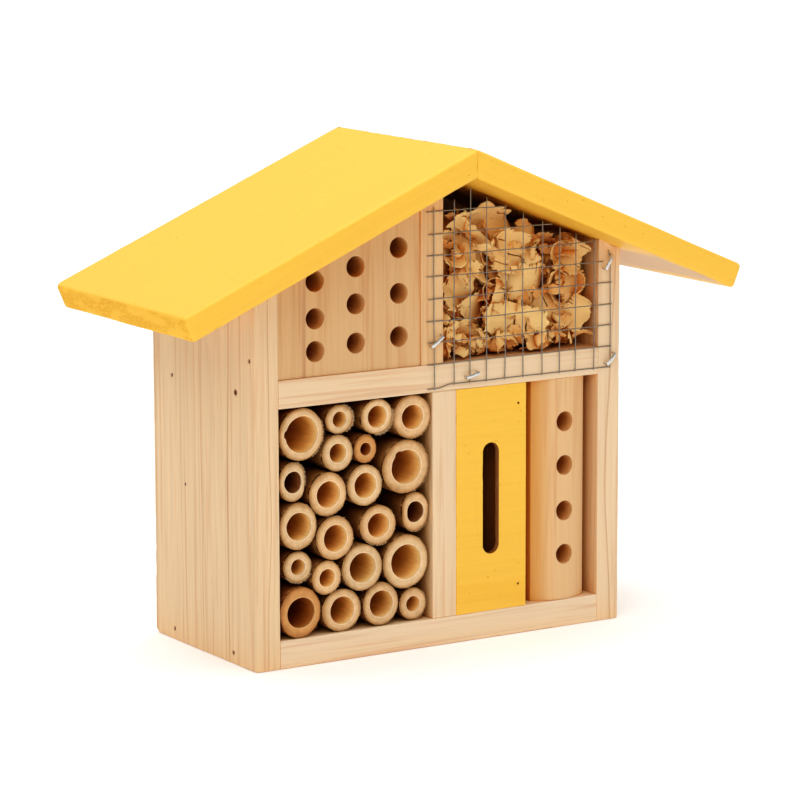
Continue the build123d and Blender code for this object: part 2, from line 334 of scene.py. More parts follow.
class Finish:
    """A material and short names for making its nodes."""

    def __init__(self, name, roughness=0.6, specular=0.3, metallic=0.0):
        self.material = bpy.data.materials.new(name)
        self.material.use_nodes = True
        self.tree = self.material.node_tree
        self.shader = self.tree.nodes["Principled BSDF"]
        self.put(self.shader, "Roughness", roughness)
        self.put(self.shader, "Specular IOR Level", specular)
        self.put(self.shader, "Metallic", metallic)
        self.coords = self.node("ShaderNodeTexCoord").outputs

    def put(self, node, socket, value):
        target = node.inputs[socket]
        if isinstance(value, bpy.types.NodeSocket):
            self.tree.links.new(value, target)
        elif hasattr(value, "__len__") and len(value) == 3 and target.type == "RGBA":
            target.default_value = (*value, 1.0)
        else:
            target.default_value = value

    def node(self, kind, inputs=None, **settings):
        made = self.tree.nodes.new(kind)
        for key, value in settings.items():
            setattr(made, key, value)
        for socket, value in (inputs or {}).items():
            self.put(made, socket, value)
        return made

    def math(self, operation, a, b=0.0):
        return self.node("ShaderNodeMath", {0: a, 1: b}, operation=operation).outputs[0]

    def times(self, a, b):
        return self.math("MULTIPLY", a, b)

    def plus(self, a, b):
        return self.math("ADD", a, b)

    def minus(self, a, b):
        return self.math("SUBTRACT", a, b)

    def scaled(self, value, factor, added):
        made = self.node("ShaderNodeMath", {0: value, 1: factor, 2: added}, operation="MULTIPLY_ADD")
        return made.outputs[0]

    def vector(self, operation, a, b):
        made = self.node("ShaderNodeVectorMath", {0: a, 1: b}, operation=operation)
        return made.outputs["Value" if operation == "DISTANCE" else "Vector"]

    def parts(self, vector):
        return self.node("ShaderNodeSeparateXYZ", {0: vector}).outputs

    def mapped(self, vector, move=(0, 0, 0), turn=(0, 0, 0), scale=(1, 1, 1)):
        inputs = {"Vector": vector, "Location": move, "Rotation": turn, "Scale": scale}
        return self.node("ShaderNodeMapping", inputs).outputs[0]

    def noise(self, vector, scale, detail=2.0, roughness=0.5, output="Fac"):
        inputs = {"Vector": vector, "Scale": scale, "Detail": detail, "Roughness": roughness}
        return self.node("ShaderNodeTexNoise", inputs).outputs[output]

    def cells(self, vector, scale):
        return self.node("ShaderNodeTexVoronoi", {"Vector": vector, "Scale": scale}).outputs["Distance"]

    def between(self, value, low, high):
        """Smooth step from 0 at low to 1 at high."""
        inputs = {"Value": value, "From Min": low, "From Max": high}
        return self.node("ShaderNodeMapRange", inputs, interpolation_type="SMOOTHSTEP").outputs[0]

    def ramp(self, value, stops):
        made = self.node("ShaderNodeValToRGB", {0: value})
        elements = made.color_ramp.elements
        while len(elements) < len(stops):
            elements.new(0.5)
        for element, (position, level) in zip(elements, stops):
            element.position = position
            element.color = (level, level, level, 1)
        return made.outputs[0]

    def mix(self, share, a, b):
        return self.node("ShaderNodeMix", {0: share, 6: a, 7: b}, data_type="RGBA").outputs[2]

    def shade_by(self, color, value, amount):
        """The colour made lighter and darker as value runs from 0 to 1."""
        factor = self.scaled(value, 2 * amount, 1 - amount)
        grey = self.node("ShaderNodeCombineXYZ", {0: factor, 1: factor, 2: factor}).outputs[0]
        return self.vector("MULTIPLY", color, grey)

    def shaded(self, color, reach=38 * MM, warm=(1.16, 0.89, 0.53), deep=(0.60, 0.40, 0.21)):
        """Painted shade: the colour made warmer in hollow places, and dark at the bottom of deep ones, by
        ambient occlusion.
        """
        made = self.node("ShaderNodeAmbientOcclusion", {"Distance": reach}, samples=6)
        open_share = made.outputs["AO"]
        hollow = self.between(open_share, 0.62, 0.18)
        bottom = self.between(open_share, 0.24, 0.02)
        color = self.mix(hollow, color, self.vector("MULTIPLY", color, warm))
        return self.mix(bottom, color, self.vector("MULTIPLY", color, deep))

    def bump(self, height, distance):
        inputs = {"Height": height, "Distance": distance, "Strength": 1.0}
        return self.node("ShaderNodeBump", inputs).outputs[0]

    def finish(self, color, normal=None, roughness=None, hollow_shade=True):
        # Unless turned off, the base colour gets painted shade in corners and recesses.
        self.put(self.shader, "Base Color", self.shaded(color) if hollow_shade else color)
        if normal is not None:
            self.put(self.shader, "Normal", normal)
        if roughness is not None:
            self.put(self.shader, "Roughness", roughness)
        return self.material


def along_grain(finish, vector, grain, tilt=0.0):
    """Vector with its Z along the grain. tilt turns it about Y first, for a sloping board."""
    turned = finish.mapped(vector, turn=(0, tilt, 0)) if tilt else vector
    parts = finish.parts(turned)
    order = {X: (Y, Z, X), Z: (X, Y, Z)}[grain]
    return finish.node("ShaderNodeCombineXYZ", {i: parts[axis] for i, axis in enumerate(order)}).outputs[0]


def end_grain(finish, grain, tilt, low, high):
    """1 where the surface cuts across the grain, and 0 where it runs along it."""
    normal = along_grain(finish, finish.coords["Normal"], grain, tilt)
    return finish.between(finish.math("ABSOLUTE", finish.parts(normal)[Z]), low, high)


def growth_rings(finish, coords, pith, spacing, seed, waver=10 * MM):
    """(late wood lines, fine fibre, broad tone) of pine, each from 0 to 1. coords has Z along the grain."""
    offset = (seed * 0.31, seed * 0.17, seed * 0.53)
    broad = finish.mapped(coords, move=offset, scale=(1, 1, 0.30))
    warp = finish.noise(broad, 15, 2.5, output="Color")
    warp = finish.vector("SUBTRACT", warp, (0.5, 0.5, 0.5))
    warp = finish.vector("MULTIPLY", warp, (waver * 2, waver * 2, 0))
    flat = finish.vector("MULTIPLY", coords, (1, 1, 0))
    radius = finish.vector("DISTANCE", finish.vector("ADD", flat, warp), (pith[0], pith[1], 0))
    inputs = {"W": radius, "Scale": 60, "Detail": 2.0}
    stretch = finish.node("ShaderNodeTexNoise", inputs, noise_dimensions="1D")
    phase = finish.times(stretch.outputs["Fac"], 6.0)
    phase = finish.plus(finish.math("DIVIDE", radius, spacing), phase)
    ring = finish.math("FLOOR", phase)
    strength = finish.node("ShaderNodeTexWhiteNoise", {"W": ring}, noise_dimensions="1D").outputs["Value"]
    strength = finish.scaled(finish.math("POWER", strength, 2.6), 1.35, 0.10)
    stops = [(0.0, 0.02), (0.5, 0.0), (0.82, 0.15), (0.93, 1.0), (0.965, 0.25), (1.0, 0.02)]
    late = finish.ramp(finish.math("FRACT", phase), stops)
    tone = finish.noise(broad, 26, 2.0)
    patchy = finish.noise(finish.mapped(coords, move=offset, scale=(1, 1, 0.10)), 150, 3.0)
    share = finish.times(strength, finish.scaled(patchy, 3.2, -0.75))
    late = finish.times(late, share)
    fibre = finish.noise(finish.mapped(coords, move=offset, scale=(1, 1, 0.022)), 640, 4.0, 0.72)
    return late, fibre, tone


def pine(name, grain, pith, spacing=5 * MM, seed=1.0, lines=0.85, color=PINE, waver=10 * MM,
         fibres=0.11, stains=(), shade_span_x=None):
    """Bare planed pine. pith is the middle of the growth rings.

    The last argument gives the X from and to which the colour gets deeper, as painted shade on a block's side
    that turns towards the board beside it, and stains the places and sizes of dark marks."""
    finish = Finish(name, roughness=0.62, specular=0.22)
    coords = along_grain(finish, finish.coords["Object"], grain)
    late, fibre, tone = growth_rings(finish, coords, pith, spacing, seed, waver)
    late_color = tuple(0.78 * a + 0.22 * b for a, b in zip(PINE_LATE, color))
    # Painted shade: the colour deepens across the given X span.
    if shade_span_x is not None:
        across = finish.parts(finish.coords["Object"])[X]
        deep = tuple(c * k for c, k in zip(color, (0.90, 0.71, 0.38)))
        color = finish.mix(finish.between(across, *shade_span_x), color, deep)
    color = finish.mix(finish.times(late, lines), color, late_color)
    color = finish.shade_by(color, tone, 0.05)
    color = finish.shade_by(color, fibre, fibres)
    streaks = finish.noise(finish.mapped(coords, move=(seed, seed, 0), scale=(1, 1, 0.03)), 330, 3.0, 0.6)
    streaks = finish.times(finish.between(streaks, 0.50, 0.68), 0.55)
    color = finish.mix(streaks, color, finish.vector("MULTIPLY", color, STREAK))
    # Fine dark resin ducts, and the darker look of cut end grain
    ducts = finish.noise(finish.mapped(coords, move=(seed, 0, 0), scale=(1, 1, 0.035)), 1300, 0.0)
    ducts = finish.times(finish.between(ducts, 0.80, 0.88), 0.35)
    color = finish.mix(ducts, color, PINE_LATE)
    for place, radius in stains:
        apart = finish.vector("DISTANCE", finish.coords["Object"], place)
        color = finish.mix(finish.between(apart, 1.9 * radius, radius), color, PINE_LATE)
        color = finish.mix(finish.between(apart, 1.2 * radius, 0.8 * radius), color, STAIN)
    end = end_grain(finish, grain, 0.0, 0.55, 0.9)
    color = finish.mix(finish.times(end, 0.22), color, PINE_LATE)
    height = finish.plus(finish.times(fibre, 0.6), finish.times(late, 0.4))
    roughness = finish.scaled(fibre, 0.16, 0.54)
    return finish.finish(color, finish.bump(height, 0.09 * MM), roughness)


def yellow_paint(name, grain, pith, seed, tilt=0.0, bare_below=None):
    """Satin yellow paint that follows the wood's grain. bare_below is the side, -1 or 1, of a roof board."""
    finish = Finish(name, roughness=0.5, specular=0.32)
    place = finish.coords["Object"]
    coords = along_grain(finish, place, grain, tilt)
    late, fibre, tone = growth_rings(finish, coords, pith, 4.5 * MM, seed)
    color = finish.shade_by(YELLOW, tone, 0.02)
    color = finish.shade_by(color, finish.noise(place, 240, 3.0, 0.6), 0.025)
    color = finish.shade_by(color, fibre, 0.06)
    color = finish.mix(finish.times(late, 0.18), color, YELLOW_DEEP)
    # Tiny pits, and the coarse stipple where paint soaks into end grain
    pits = finish.noise(finish.mapped(coords, move=(seed, 0, 0), scale=(1, 1, 0.6)), 900, 0.0)
    pits = finish.between(pits, 0.80, 0.86)
    color = finish.mix(finish.times(pits, 0.6), color, YELLOW_DEEP)
    end = end_grain(finish, grain, tilt, 0.6, 0.85)
    blotches = finish.noise(finish.mapped(place, move=(seed, 0, 0), scale=(1, 0.35, 1)), 130, 1.5)
    band = finish.between(blotches, 0.46, 0.56)
    stipple = finish.between(finish.noise(place, 950, 2.0, 0.7), 0.44, 0.56)
    soaked = finish.times(end, finish.times(band, stipple))
    color = finish.mix(finish.times(end, 0.12), color, YELLOW_DEEP)
    color = finish.mix(finish.times(soaked, 0.75), color, YELLOW_SOAKED)
    height = finish.scaled(late, 0.35, 0.5)
    height = finish.minus(height, finish.times(pits, 2.0))
    height = finish.minus(height, finish.times(soaked, 0.9))
    height = finish.plus(height, finish.times(fibre, 0.9))
    height = finish.plus(height, finish.times(finish.noise(place, 420, 2.0), 0.35))
    if bare_below is not None:
        color = finish.mix(bare_wood(finish, place, bare_below), color, bare_color(finish, late, fibre))
    roughness = finish.scaled(end, 0.42, 0.48)
    return finish.finish(color, finish.bump(height, 0.09 * MM), roughness)


def bare_color(finish, late, fibre):
    """Pine seen where the paint stops, darkened as painted shade under the roof."""
    color = finish.mix(finish.times(late, 0.7), PINE_UNDERSIDE_SHADED, PINE_LATE)
    return finish.shade_by(color, fibre, 0.08)


def bare_wood(finish, place, side):
    """Where a roof board's underside was left unpainted: 1 on bare wood, 0 under overspray."""
    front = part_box("roof_board_left" if side < 0 else "roof_board_right")[0].y
    down = finish.parts(finish.coords["Normal"])[Z]
    below = finish.between(down, -0.72, -0.86)
    parts = finish.parts(place)
    ragged = finish.times(finish.minus(finish.noise(place, 60, 3.0), 0.5), 14 * MM)
    out = finish.plus(finish.math("ABSOLUTE", parts[X]), ragged)
    past_wall = finish.between(out, 97 * MM, 106 * MM)
    near_eave = finish.between(out, 134 * MM, 145 * MM)
    behind = finish.plus(finish.minus(parts[Y], front), ragged)
    clear_of_front = finish.between(behind, 1 * MM, 4 * MM)
    bare = finish.times(past_wall, finish.minus(1.0, near_eave))
    inside = finish.between(behind, 66 * MM, 80 * MM)
    bare = finish.math("MAXIMUM", finish.times(bare, clear_of_front), inside)
    return finish.times(below, bare)


def cane_finishes(tag, skin, end, rim, bore, seed):
    """Materials of one cane: cut end, outer skin and bore. The cane's axis runs along Y."""
    cut = Finish(f"cane_end_{tag}", roughness=0.75, specular=0.15)
    place = cut.coords["Object"]
    wall = cut.node("ShaderNodeAttribute", attribute_name="wall").outputs["Fac"]
    bundles = cut.cells(cut.mapped(place, move=(seed, 0, seed), scale=(1, 0.2, 1)), 1500)
    bundles = cut.times(cut.between(bundles, 0.32, 0.14), cut.scaled(wall, 0.50, 0.12))
    saw = cut.noise(cut.mapped(place, turn=(0, seed * 3, 0), scale=(1, 1, 0.06)), 1700, 2.0)
    mottle = cut.noise(cut.mapped(place, move=(seed, seed, 0)), 330, 3.0)
    stain = cut.noise(cut.mapped(place, move=(0, seed, seed)), 140, 3.0, 0.6)
    weathered = cut.plus(wall, cut.scaled(stain, 1.1, -0.55))
    color = cut.mix(cut.between(wall, 0.17, 0.03), end, rim)
    color = cut.mix(cut.times(cut.between(weathered, 0.38, 1.0), 0.68), color, skin)
    color = cut.mix(cut.times(cut.between(wall, 0.78, 0.94), 0.95), color, skin)
    color = cut.mix(cut.times(cut.between(wall, 0.45, 0.9), 0.26), color, skin)
    color = cut.mix(bundles, color, skin)
    color = cut.shade_by(cut.shade_by(color, saw, 0.10), mottle, 0.22)
    cut_end = cut.finish(color, cut.bump(cut.plus(saw, mottle), 0.16 * MM), hollow_shade=False)

    outer = Finish(f"cane_skin_{tag}", roughness=0.55, specular=0.25)
    place = outer.coords["Object"]
    streaks = outer.noise(outer.mapped(place, move=(seed, 0, 0), scale=(1, 0.05, 1)), 1100, 3.0, 0.65)
    stains = outer.noise(outer.mapped(place, move=(0, seed, 0), scale=(1, 0.4, 1)), 120, 3.0, 0.6)
    color = outer.mix(outer.between(stains, 0.45, 0.75), skin, tuple(c * 0.62 for c in skin))
    color = outer.shade_by(color, streaks, 0.22)
    # Painted shade: the skin goes dark in the narrow gaps between canes.
    color = outer.shaded(color, 24 * MM, (0.72, 0.50, 0.30), (0.20, 0.11, 0.05))
    outer_skin = outer.finish(color, outer.bump(streaks, 0.12 * MM), hollow_shade=False)

    inner = Finish(f"cane_bore_{tag}", roughness=0.6, specular=0.25)
    place = inner.coords["Object"]
    streaks = inner.noise(inner.mapped(place, move=(seed, 0, 0), scale=(1, 0.12, 1)), 700, 3.0, 0.6)
    specks = inner.between(inner.noise(inner.mapped(place, move=(0, 0, seed)), 1300, 0.0), 0.74, 0.80)
    # Painted light: the bore is paler near its mouth, where light gets in; the finish paints shade deeper in.
    depth = inner.parts(place)[Y]
    mouth = inner.times(inner.between(depth, 11 * MM, 1 * MM), 0.75)
    mouth_lit = tuple(c * k for c, k in zip(bore, (1.18, 1.36, 1.65)))
    color = inner.shade_by(inner.mix(mouth, bore, mouth_lit), streaks, 0.20)
    color = inner.mix(inner.times(specks, 0.5), color, rim)
    inner_bore = inner.finish(color, inner.bump(streaks, 0.15 * MM))
    return [cut_end, outer_skin, inner_bore]


def shaving_finish():
    """Thin planed pine, with fibre along each shaving."""
    finish = Finish("wood_shavings", roughness=0.62, specular=0.10)
    flake = finish.node("ShaderNodeAttribute", attribute_name="flake")
    tone = finish.node("ShaderNodeAttribute", attribute_name="tone").outputs["Fac"]
    place = flake.outputs["Vector"]
    fibre = finish.noise(finish.mapped(place, scale=(0.05, 1, 1)), 900, 3.0, 0.6)
    ripples = finish.noise(finish.mapped(place, scale=(1, 0.08, 1)), 420, 2.0)
    patches = finish.noise(finish.coords["Object"], 75, 3.0, 0.6)
    share = finish.plus(finish.times(tone, 0.75), finish.scaled(patches, 0.7, -0.35))
    color = finish.mix(finish.between(share, 0.15, 0.9), SHAVING, SHAVING_DEEP)
    color = finish.shade_by(finish.shade_by(color, fibre, 0.13), ripples, 0.05)
    specks = finish.between(finish.noise(finish.mapped(place, scale=(0.4, 1, 1)), 700, 0.0), 0.80, 0.85)
    color = finish.mix(finish.times(specks, 0.5), color, PINE_DARK)
    height = finish.plus(fibre, finish.times(ripples, 1.5))
    # Painted shade: warmer and darker where the shavings crowd each other.
    color = finish.shaded(color, 12 * MM, (1.0, 0.70, 0.36), (0.66, 0.26, 0.06))
    finish.finish(color, finish.bump(height, 0.12 * MM), hollow_shade=False)
    # Light that shines through the thin wood
    through = finish.node("ShaderNodeBsdfTranslucent", {"Color": color}).outputs[0]
    blend = finish.node("ShaderNodeMixShader", {0: 0.14, 1: finish.shader.outputs[0], 2: through})
    finish.put(finish.tree.nodes["Material Output"], "Surface", blend.outputs[0])
    return finish.material


def steel(name, color, roughness, blotch, metallic=0.85):
    """Bare or zinc-coated steel, with a blotchy surface."""
    finish = Finish(name, roughness=roughness, specular=0.5, metallic=metallic)
    place = finish.coords["Object"]
    spots = finish.noise(place, 900, 3.0, 0.6)
    tint = finish.shade_by(color, spots, blotch)
    rough = finish.scaled(spots, 0.3, roughness - 0.15)
    return finish.finish(tint, finish.bump(spots, 0.03 * MM), rough, hollow_shade=False)


# --- boards -------------------------------------------------------------------------------------------

def nail_pits(node, axis, side, radius=1.15 * MM, depth=0.9 * MM):
    """Cutter for ragged little holes over driven nails, whose heads are at one side along an axis."""
    cutter = bmesh.new()
    for number, (low, high) in enumerate(box_of(part) for part in separate_parts(node)):
        head = (low + high) / 2
        surface = (low if side < 0 else high)[axis] + side * 0.5 * MM
        head[axis] = surface
        out = Vector((0, 0, 0))
        out[axis] = side
        profile = [(-depth, radius * 0.75), (-0.35 * MM, radius * 0.9)]
        profile += [(0.0, radius), (0.6 * MM, radius * 1.6)]
        lathe(cutter, profile, 14, facing(head, out), ragged=0.22, seed=number + 7.0)
    return cutter


def hole_cutter(places, radius, bottom):
    """Cutter for drilled holes with an eased, slightly ragged mouth. places holds (x, y of the mouth, z)."""
    cutter = bmesh.new()
    for number, (x, y, z) in enumerate(places):
        profile = [
            (-2.0 * MM, radius + 2.2 * MM),
            (0.2 * MM, radius),
            (2.0 * MM, radius),
            (bottom - 1.5 * MM, radius),
            (bottom, radius * 0.55),
        ]
        lathe(cutter, profile, 64, facing((x, y, z), (0, 1, 0)), ragged=0.012, seed=number + 1.0)
    bmesh.ops.recalc_face_normals(cutter, faces=cutter.faces)
    return cutter


def wooden_piece(name, node, slot, finish, seed, eased=BOARD_EASE, cutters=(), wave=0.07 * MM,
                 nick=0.35 * MM, shape=None, step=GRID, tucked=0.0):
    """Board in place of a CAD node: its sharp outline with eased edges, cuts and slight unevenness.

    tucked is how far its top goes up into the roof, to close the seam between them."""
    if shape is None:
        low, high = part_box(node)
        lift = Vector((0, tucked))
        outline = [corner + lift * (corner.y > UNDER_ROOF) for corner in corners_of(node, X, Z)]
        shape = prism(outline, low.y, high.y, X, Z, Y)
        ease(shape, eased, 3)
    for cutter in cutters:
        shape = subtract(shape, cutter)
    slice_up(shape, step)
    weather(shape, seed, wave, nick)
    for face in shape.faces:
        face.smooth = True
    for edge in shape.edges:
        edge.smooth = edge.calc_face_angle(0.0) < math.radians(38)
    obj = add_object(name, shape, [finish], smooth=False)
    modifier = obj.modifiers.new("even_normals", "WEIGHTED_NORMAL")
    modifier.weight = 60
    modifier.keep_sharp = True
    return stand_for(obj, slot, node)


def side_wall(node, side, finish, seed, nails):
    """Side wall: rounder outer edges, a knocked rear bottom corner, and nail holes."""
    low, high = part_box(node)
    outer = high.x if side > 0 else low.x
    shape = prism(corners_of(node, X, Z), low.y, high.y, X, Z, Y)
    is_corner = lambda e: all(v.co.y > high.y - MM and v.co.z < MM for v in e.verts)
    ease(shape, 3.5 * MM, 4, is_corner)
    is_outer = lambda e: all(abs(v.co.x - outer) < 0.1 * MM for v in e.verts)
    is_upright = lambda e: is_outer(e) and abs(e.verts[0].co.z - e.verts[1].co.z) > 50 * MM
    ease(shape, WALL_EASE, 3, is_upright)
    ease(shape, BOARD_EASE, 3, is_outer)
    ease(shape, BOARD_EASE, 3, lambda e: not any(abs(v.co.x - outer) < 1.2 * MM for v in e.verts))
    cutters = [nail_pits(nails, X, side)]
    return wooden_piece("pine_" + node, node, "pine", finish, seed, cutters=cutters, shape=shape,
                        nick=0.5 * MM)


def roof_board(node, side, finish, seed, longer, deeper, skew):
    """Painted roof board, round at its edges and tight at the mitre. Its saw cuts are not quite square."""
    low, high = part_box(node)
    outline = []
    for corner in corners_of(node, X, Z):
        at_eave = abs(corner.x) > 50 * MM
        down_slope = Vector((side * math.cos(ROOF_SLOPE), -math.sin(ROOF_SLOPE)))
        outline.append(corner + down_slope * longer * at_eave)
    shape = prism(outline, low.y, high.y, X, Z, Y)
    for v in shape.verts:
        if v.co.y > 0:
            v.co.y += deeper + skew * abs(v.co.x)
    at_rear_eave = lambda e: all(v.co.y > 0 and abs(v.co.x) > EAVE_OUT for v in e.verts)
    ease(shape, 3.5 * MM, 5, at_rear_eave)
    ease(shape, ROOF_EASE, 4, lambda e: not all(abs(v.co.x) < 0.1 * MM for v in e.verts))
    return wooden_piece("painted_" + node, node, "yellow_paint", finish, seed, shape=shape, wave=0.16 * MM,
                        nick=0.7 * MM, step=2.4 * MM)


def openings_named(start):
    """Middle of the mouth of each nesting hole whose opening's name starts so."""
    places = []
    for name, opening in OPENINGS.items():
        if name.startswith(start):
            low, high = opening["box_m"]
            places.append(((low[X] + high[X]) / 2, low[Y] + MM, (low[Z] + high[Z]) / 2))
    return places


def drilled_block(finish):
    """Block with nine nesting holes."""
    low, high = OPENINGS["block_hole_1"]["box_m"]
    depth = high[Y] - low[Y] - MM
    cutter = hole_cutter(openings_named("block_hole"), NESTING_HOLE_RADIUS, depth)
    return wooden_piece("pine_drilled_block", "drilled_block", "pine", finish, 31.0, cutters=[cutter],
                        nick=0.12 * MM)


def round_front_block(finish):
    """Upright block with a round front and four nesting holes."""
    low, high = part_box("round_front_block")
    half = (high.x - low.x) / 2
    corners = [v.co for v in frame["nodes"]["round_front_block"].data.vertices]
    edge_y = min(corner.y for corner in corners if corner.x < low.x + 0.01 * MM)
    sagitta = edge_y - low.y
    radius = (half * half + sagitta * sagitta) / (2 * sagitta)
    reach = math.asin(half / radius)
    middle = (low.x + high.x) / 2
    steps = 28
    outline = []
    for k in range(steps + 1):
        turn = -reach + 2 * reach * k / steps
        outline.append((middle + radius * math.sin(turn), low.y + radius - radius * math.cos(turn)))
    outline += [(high.x, high.y), (low.x, high.y)]
    shape = prism(outline, low.z, high.z, X, Y, Z)
    ease(shape, BOARD_EASE, 3)
    mouth, bottom = OPENINGS["round_block_hole_1"]["box_m"]
    cutter = hole_cutter(openings_named("round_block_hole"), NESTING_HOLE_RADIUS, bottom[Y] - mouth[Y] - MM)
    return wooden_piece("pine_round_front_block", "round_front_block", "pine", finish, 37.0, cutters=[cutter],
                        nick=0.12 * MM, shape=shape)


def slotted_panel(finish, core):
    """Painted panel with a slot with round ends, and pin holes. Its core shows inside the slot, in a dark
    brown that is partly its own colour and partly painted shade.
    """
    low, high = OPENINGS["panel_slot"]["box_m"]
    radius = (high[X] - low[X]) / 2 + 0.2 * MM
    middle = (low[X] + high[X]) / 2
    outline = []
    for end, start in ((high[Z], 0.0), (low[Z], math.pi)):
        for k in range(25):
            turn = start + math.pi * k / 24
            outline.append((middle + radius * math.cos(turn), end + radius * math.sin(turn)))
    slot = prism(outline, low[Y], high[Y], X, Z, Y)
    pins = nail_pits("panel_pins", Y, -1, radius=0.65 * MM, depth=0.7 * MM)
    panel = wooden_piece("painted_slotted_panel", "slotted_panel", "yellow_paint", finish, 41.0,
                         eased=0.25 * MM, cutters=[slot, pins], wave=0.05 * MM, nick=0.25 * MM, step=1.9 * MM)
    panel.data.materials.append(core)
    # The slot's inner faces get the core finish, its brown partly painted shade.
    for face in panel.data.polygons:
        beside = low[X] - 2 * MM < face.center.x < high[X] + 2 * MM
        level = low[Z] - 8 * MM < face.center.z < high[Z] + 8 * MM
        if beside and level and abs(face.normal.y) < 0.7 and face.center.y > low[Y] + 1.3 * MM:
            face.material_index = 1
    return panel


# --- canes --------------------------------------------------------------------------------------------

CANE_RING = 96
CANE_BACK = (1.0, 3.0, 6.0, 10.0, 16.0, 24.0, 36.0, 50.0, 66.0)
# What sets single canes apart: the side of a notch in the bore, and where the outer rim is frayed, in degrees
# anticlockwise from the right, and how flat one side is.
NOTCHES = {17: 175, 16: 125}
FRAYS = {
    4: (-80, 60, 0.5), 5: (-150, -30, 0.9), 10: (60, 180, 0.6), 11: (-160, -60, 0.7),
    12: (-140, -40, 0.6), 13: (-20, 80, 0.8), 16: (-70, 60, 0.6), 17: (-70, 30, 0.6),
    19: (60, 200, 0.7), 20: (-60, 75, 1.0), 21: (-100, 20, 1.0), 22: (-120, 40, 0.4),
}
FLATS = {13: (0, 0.20), 12: (180, 0.20)}
BROWN_CANES = (1, 19)
DARK_BORED_CANES = (12, 13)


def cane(number):
    """Bamboo cane: an uneven tube with a sawn front, a thin bright rim round the bore and frayed skin."""
    rng = random.Random(number * 101)
    node = f"bamboo_cane_{number:02d}"
    low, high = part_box(node)
    middle = (low + high) / 2
    half_width, half_height, length = (high.x - low.x) / 2, (high.z - low.z) / 2, high.y - low.y
    bore = MOUNTS[f"cane_bore_{number:02d}"]["dims"]["r_mm"] * MM
    tilt_x, tilt_z = rng.uniform(-0.02, 0.02), rng.uniform(-0.03, 0.015)
    notch = NOTCHES.get(number)
    flat_side, flat_depth = FLATS.get(number, (0, 0))

    def outer_at(turn, y):
        across, up = half_height * math.cos(turn), half_width * math.sin(turn)
        oval = half_width * half_height / math.hypot(across, up)
        around = Vector((math.cos(turn), math.sin(turn), y * 9))
        uneven = 0.018 * wander(around, 1.1, number) + 0.005 * wander(around, 3, number + 50)
        facing_flat = max(0.0, math.cos(turn - math.radians(flat_side)))
        return oval * (0.993 + uneven - flat_depth * facing_flat ** 3)

    def bore_at(turn, y):
        around = Vector((math.cos(turn), math.sin(turn), y * 12))
        reach = bore * (1.0 + 0.022 * wander(around, 1.2, number + 20)
                        + 0.008 * wander(around, 6, number + 70))
        if notch is not None:
            apart = math.cos(turn - math.radians(notch))
            reach += 0.9 * MM * smoothstep(0.965, 0.999, apart) * smoothstep(12 * MM, 0.0, y)
        facing_flat = max(0.0, math.cos(turn - math.radians(flat_side)))
        return reach * (1 - flat_depth * 0.8 * facing_flat ** 3)

    # Stations round the tube's section: (share of the wall, distance behind the front, part of the tube)
    front = [(0.0, 0.45), (0.0, 0.12), (0.05, 0.0), (0.12, 0.06), (0.3, 0.07)]
    front += [(0.5, 0.07), (0.68, 0.12), (0.82, 0.26), (0.93, 0.55), (1.0, 1.2)]
    stations = [(share, y * MM, 0) for share, y in front]
    stations += [(1.0, y * MM, 1) for y in CANE_BACK]
    stations += [(1.0, length, 1), (0.5, length, 0), (0.0, length, 2)]
    stations += [(0.0, y * MM, 2) for y in reversed(CANE_BACK)]
    bm = bmesh.new()
    wall_layer = bm.verts.layers.float.new("wall")
    rings = []
    for share, y, _part in stations:
        ring = []
        for k in range(CANE_RING):
            turn = 2 * math.pi * k / CANE_RING
            inner, outer = bore_at(turn, y), outer_at(turn, y)
            reach = inner + (outer - inner) * share
            x, z = reach * math.cos(turn), reach * math.sin(turn)
            at_front = smoothstep(3 * MM, 0.0, y)
            rough = 0.10 * MM * wander((x, z, 0), 420, number) + 0.06 * MM * wander((x, z, 0), 1500, number)
            back = y + at_front * (tilt_x * x + tilt_z * z + rough)
            vert = bm.verts.new((x, back, z))
            vert[wall_layer] = share
            ring.append(vert)
        rings.append(ring)
    for i, ring in enumerate(rings):
        following = rings[(i + 1) % len(rings)]
        part = stations[(i + 1) % len(rings)][2]
        for k in range(CANE_RING):
            after = (k + 1) % CANE_RING
            face = bm.faces.new((ring[k], following[k], following[after], ring[after]))
            face.material_index = part
    bmesh.ops.recalc_face_normals(bm, faces=bm.faces)
    fray(bm, rng, number, outer_at, wall_layer)
    tag = f"{number:02d}"
    obj = add_object("cane_" + tag, bm, cane_look(tag, number, rng))
    obj.location = (middle.x, low.y, middle.z)
    slot = "bamboo_brown" if number in BROWN_CANES else "bamboo"
    return stand_for(obj, slot, node)


def fray(bm, rng, number, outer_at, wall_layer):
    """Torn fibres that stand out from the front outer edge of a cane."""
    from_angle, to_angle, amount = FRAYS.get(number, (0, 360, 0.22))
    count = int(210 * amount * abs(to_angle - from_angle) / 180)
    for strand in range(count + 45):
        if strand < count:
            turn = math.radians(rng.uniform(from_angle, to_angle))
            size = rng.uniform(0.4, 1.2) * amount
        else:
            turn = rng.uniform(0, 2 * math.pi)
            size = rng.uniform(0.15, 0.5)
        spread = rng.uniform(0.08, 0.16) * MM
        out = Vector((math.cos(turn), 0, math.sin(turn)))
        side = Vector((-math.sin(turn), 0, math.cos(turn)))
        root = out * (outer_at(turn, 0.0) - 0.25 * MM) + Vector((0, 0.55 * MM, 0))
        lean = out * rng.uniform(0.35, 1.0) + side * rng.uniform(-0.6, 0.6)
        lean += Vector((0, rng.uniform(-1.5, -0.2), 0))
        tip = root + lean.normalized() * size * 1.5 * MM
        third = root + Vector((0, 0.5 * MM, 0)) + out * 0.1 * MM
        corners = [root + side * spread, root - side * spread, third]
        base = [bm.verts.new(corner) for corner in corners]
        point = bm.verts.new(tip)
        for vert in (*base, point):
            vert[wall_layer] = 0.35
        bm.faces.new((base[0], base[2], base[1]))
        for k in range(3):
            bm.faces.new((base[k], base[(k + 1) % 3], point))


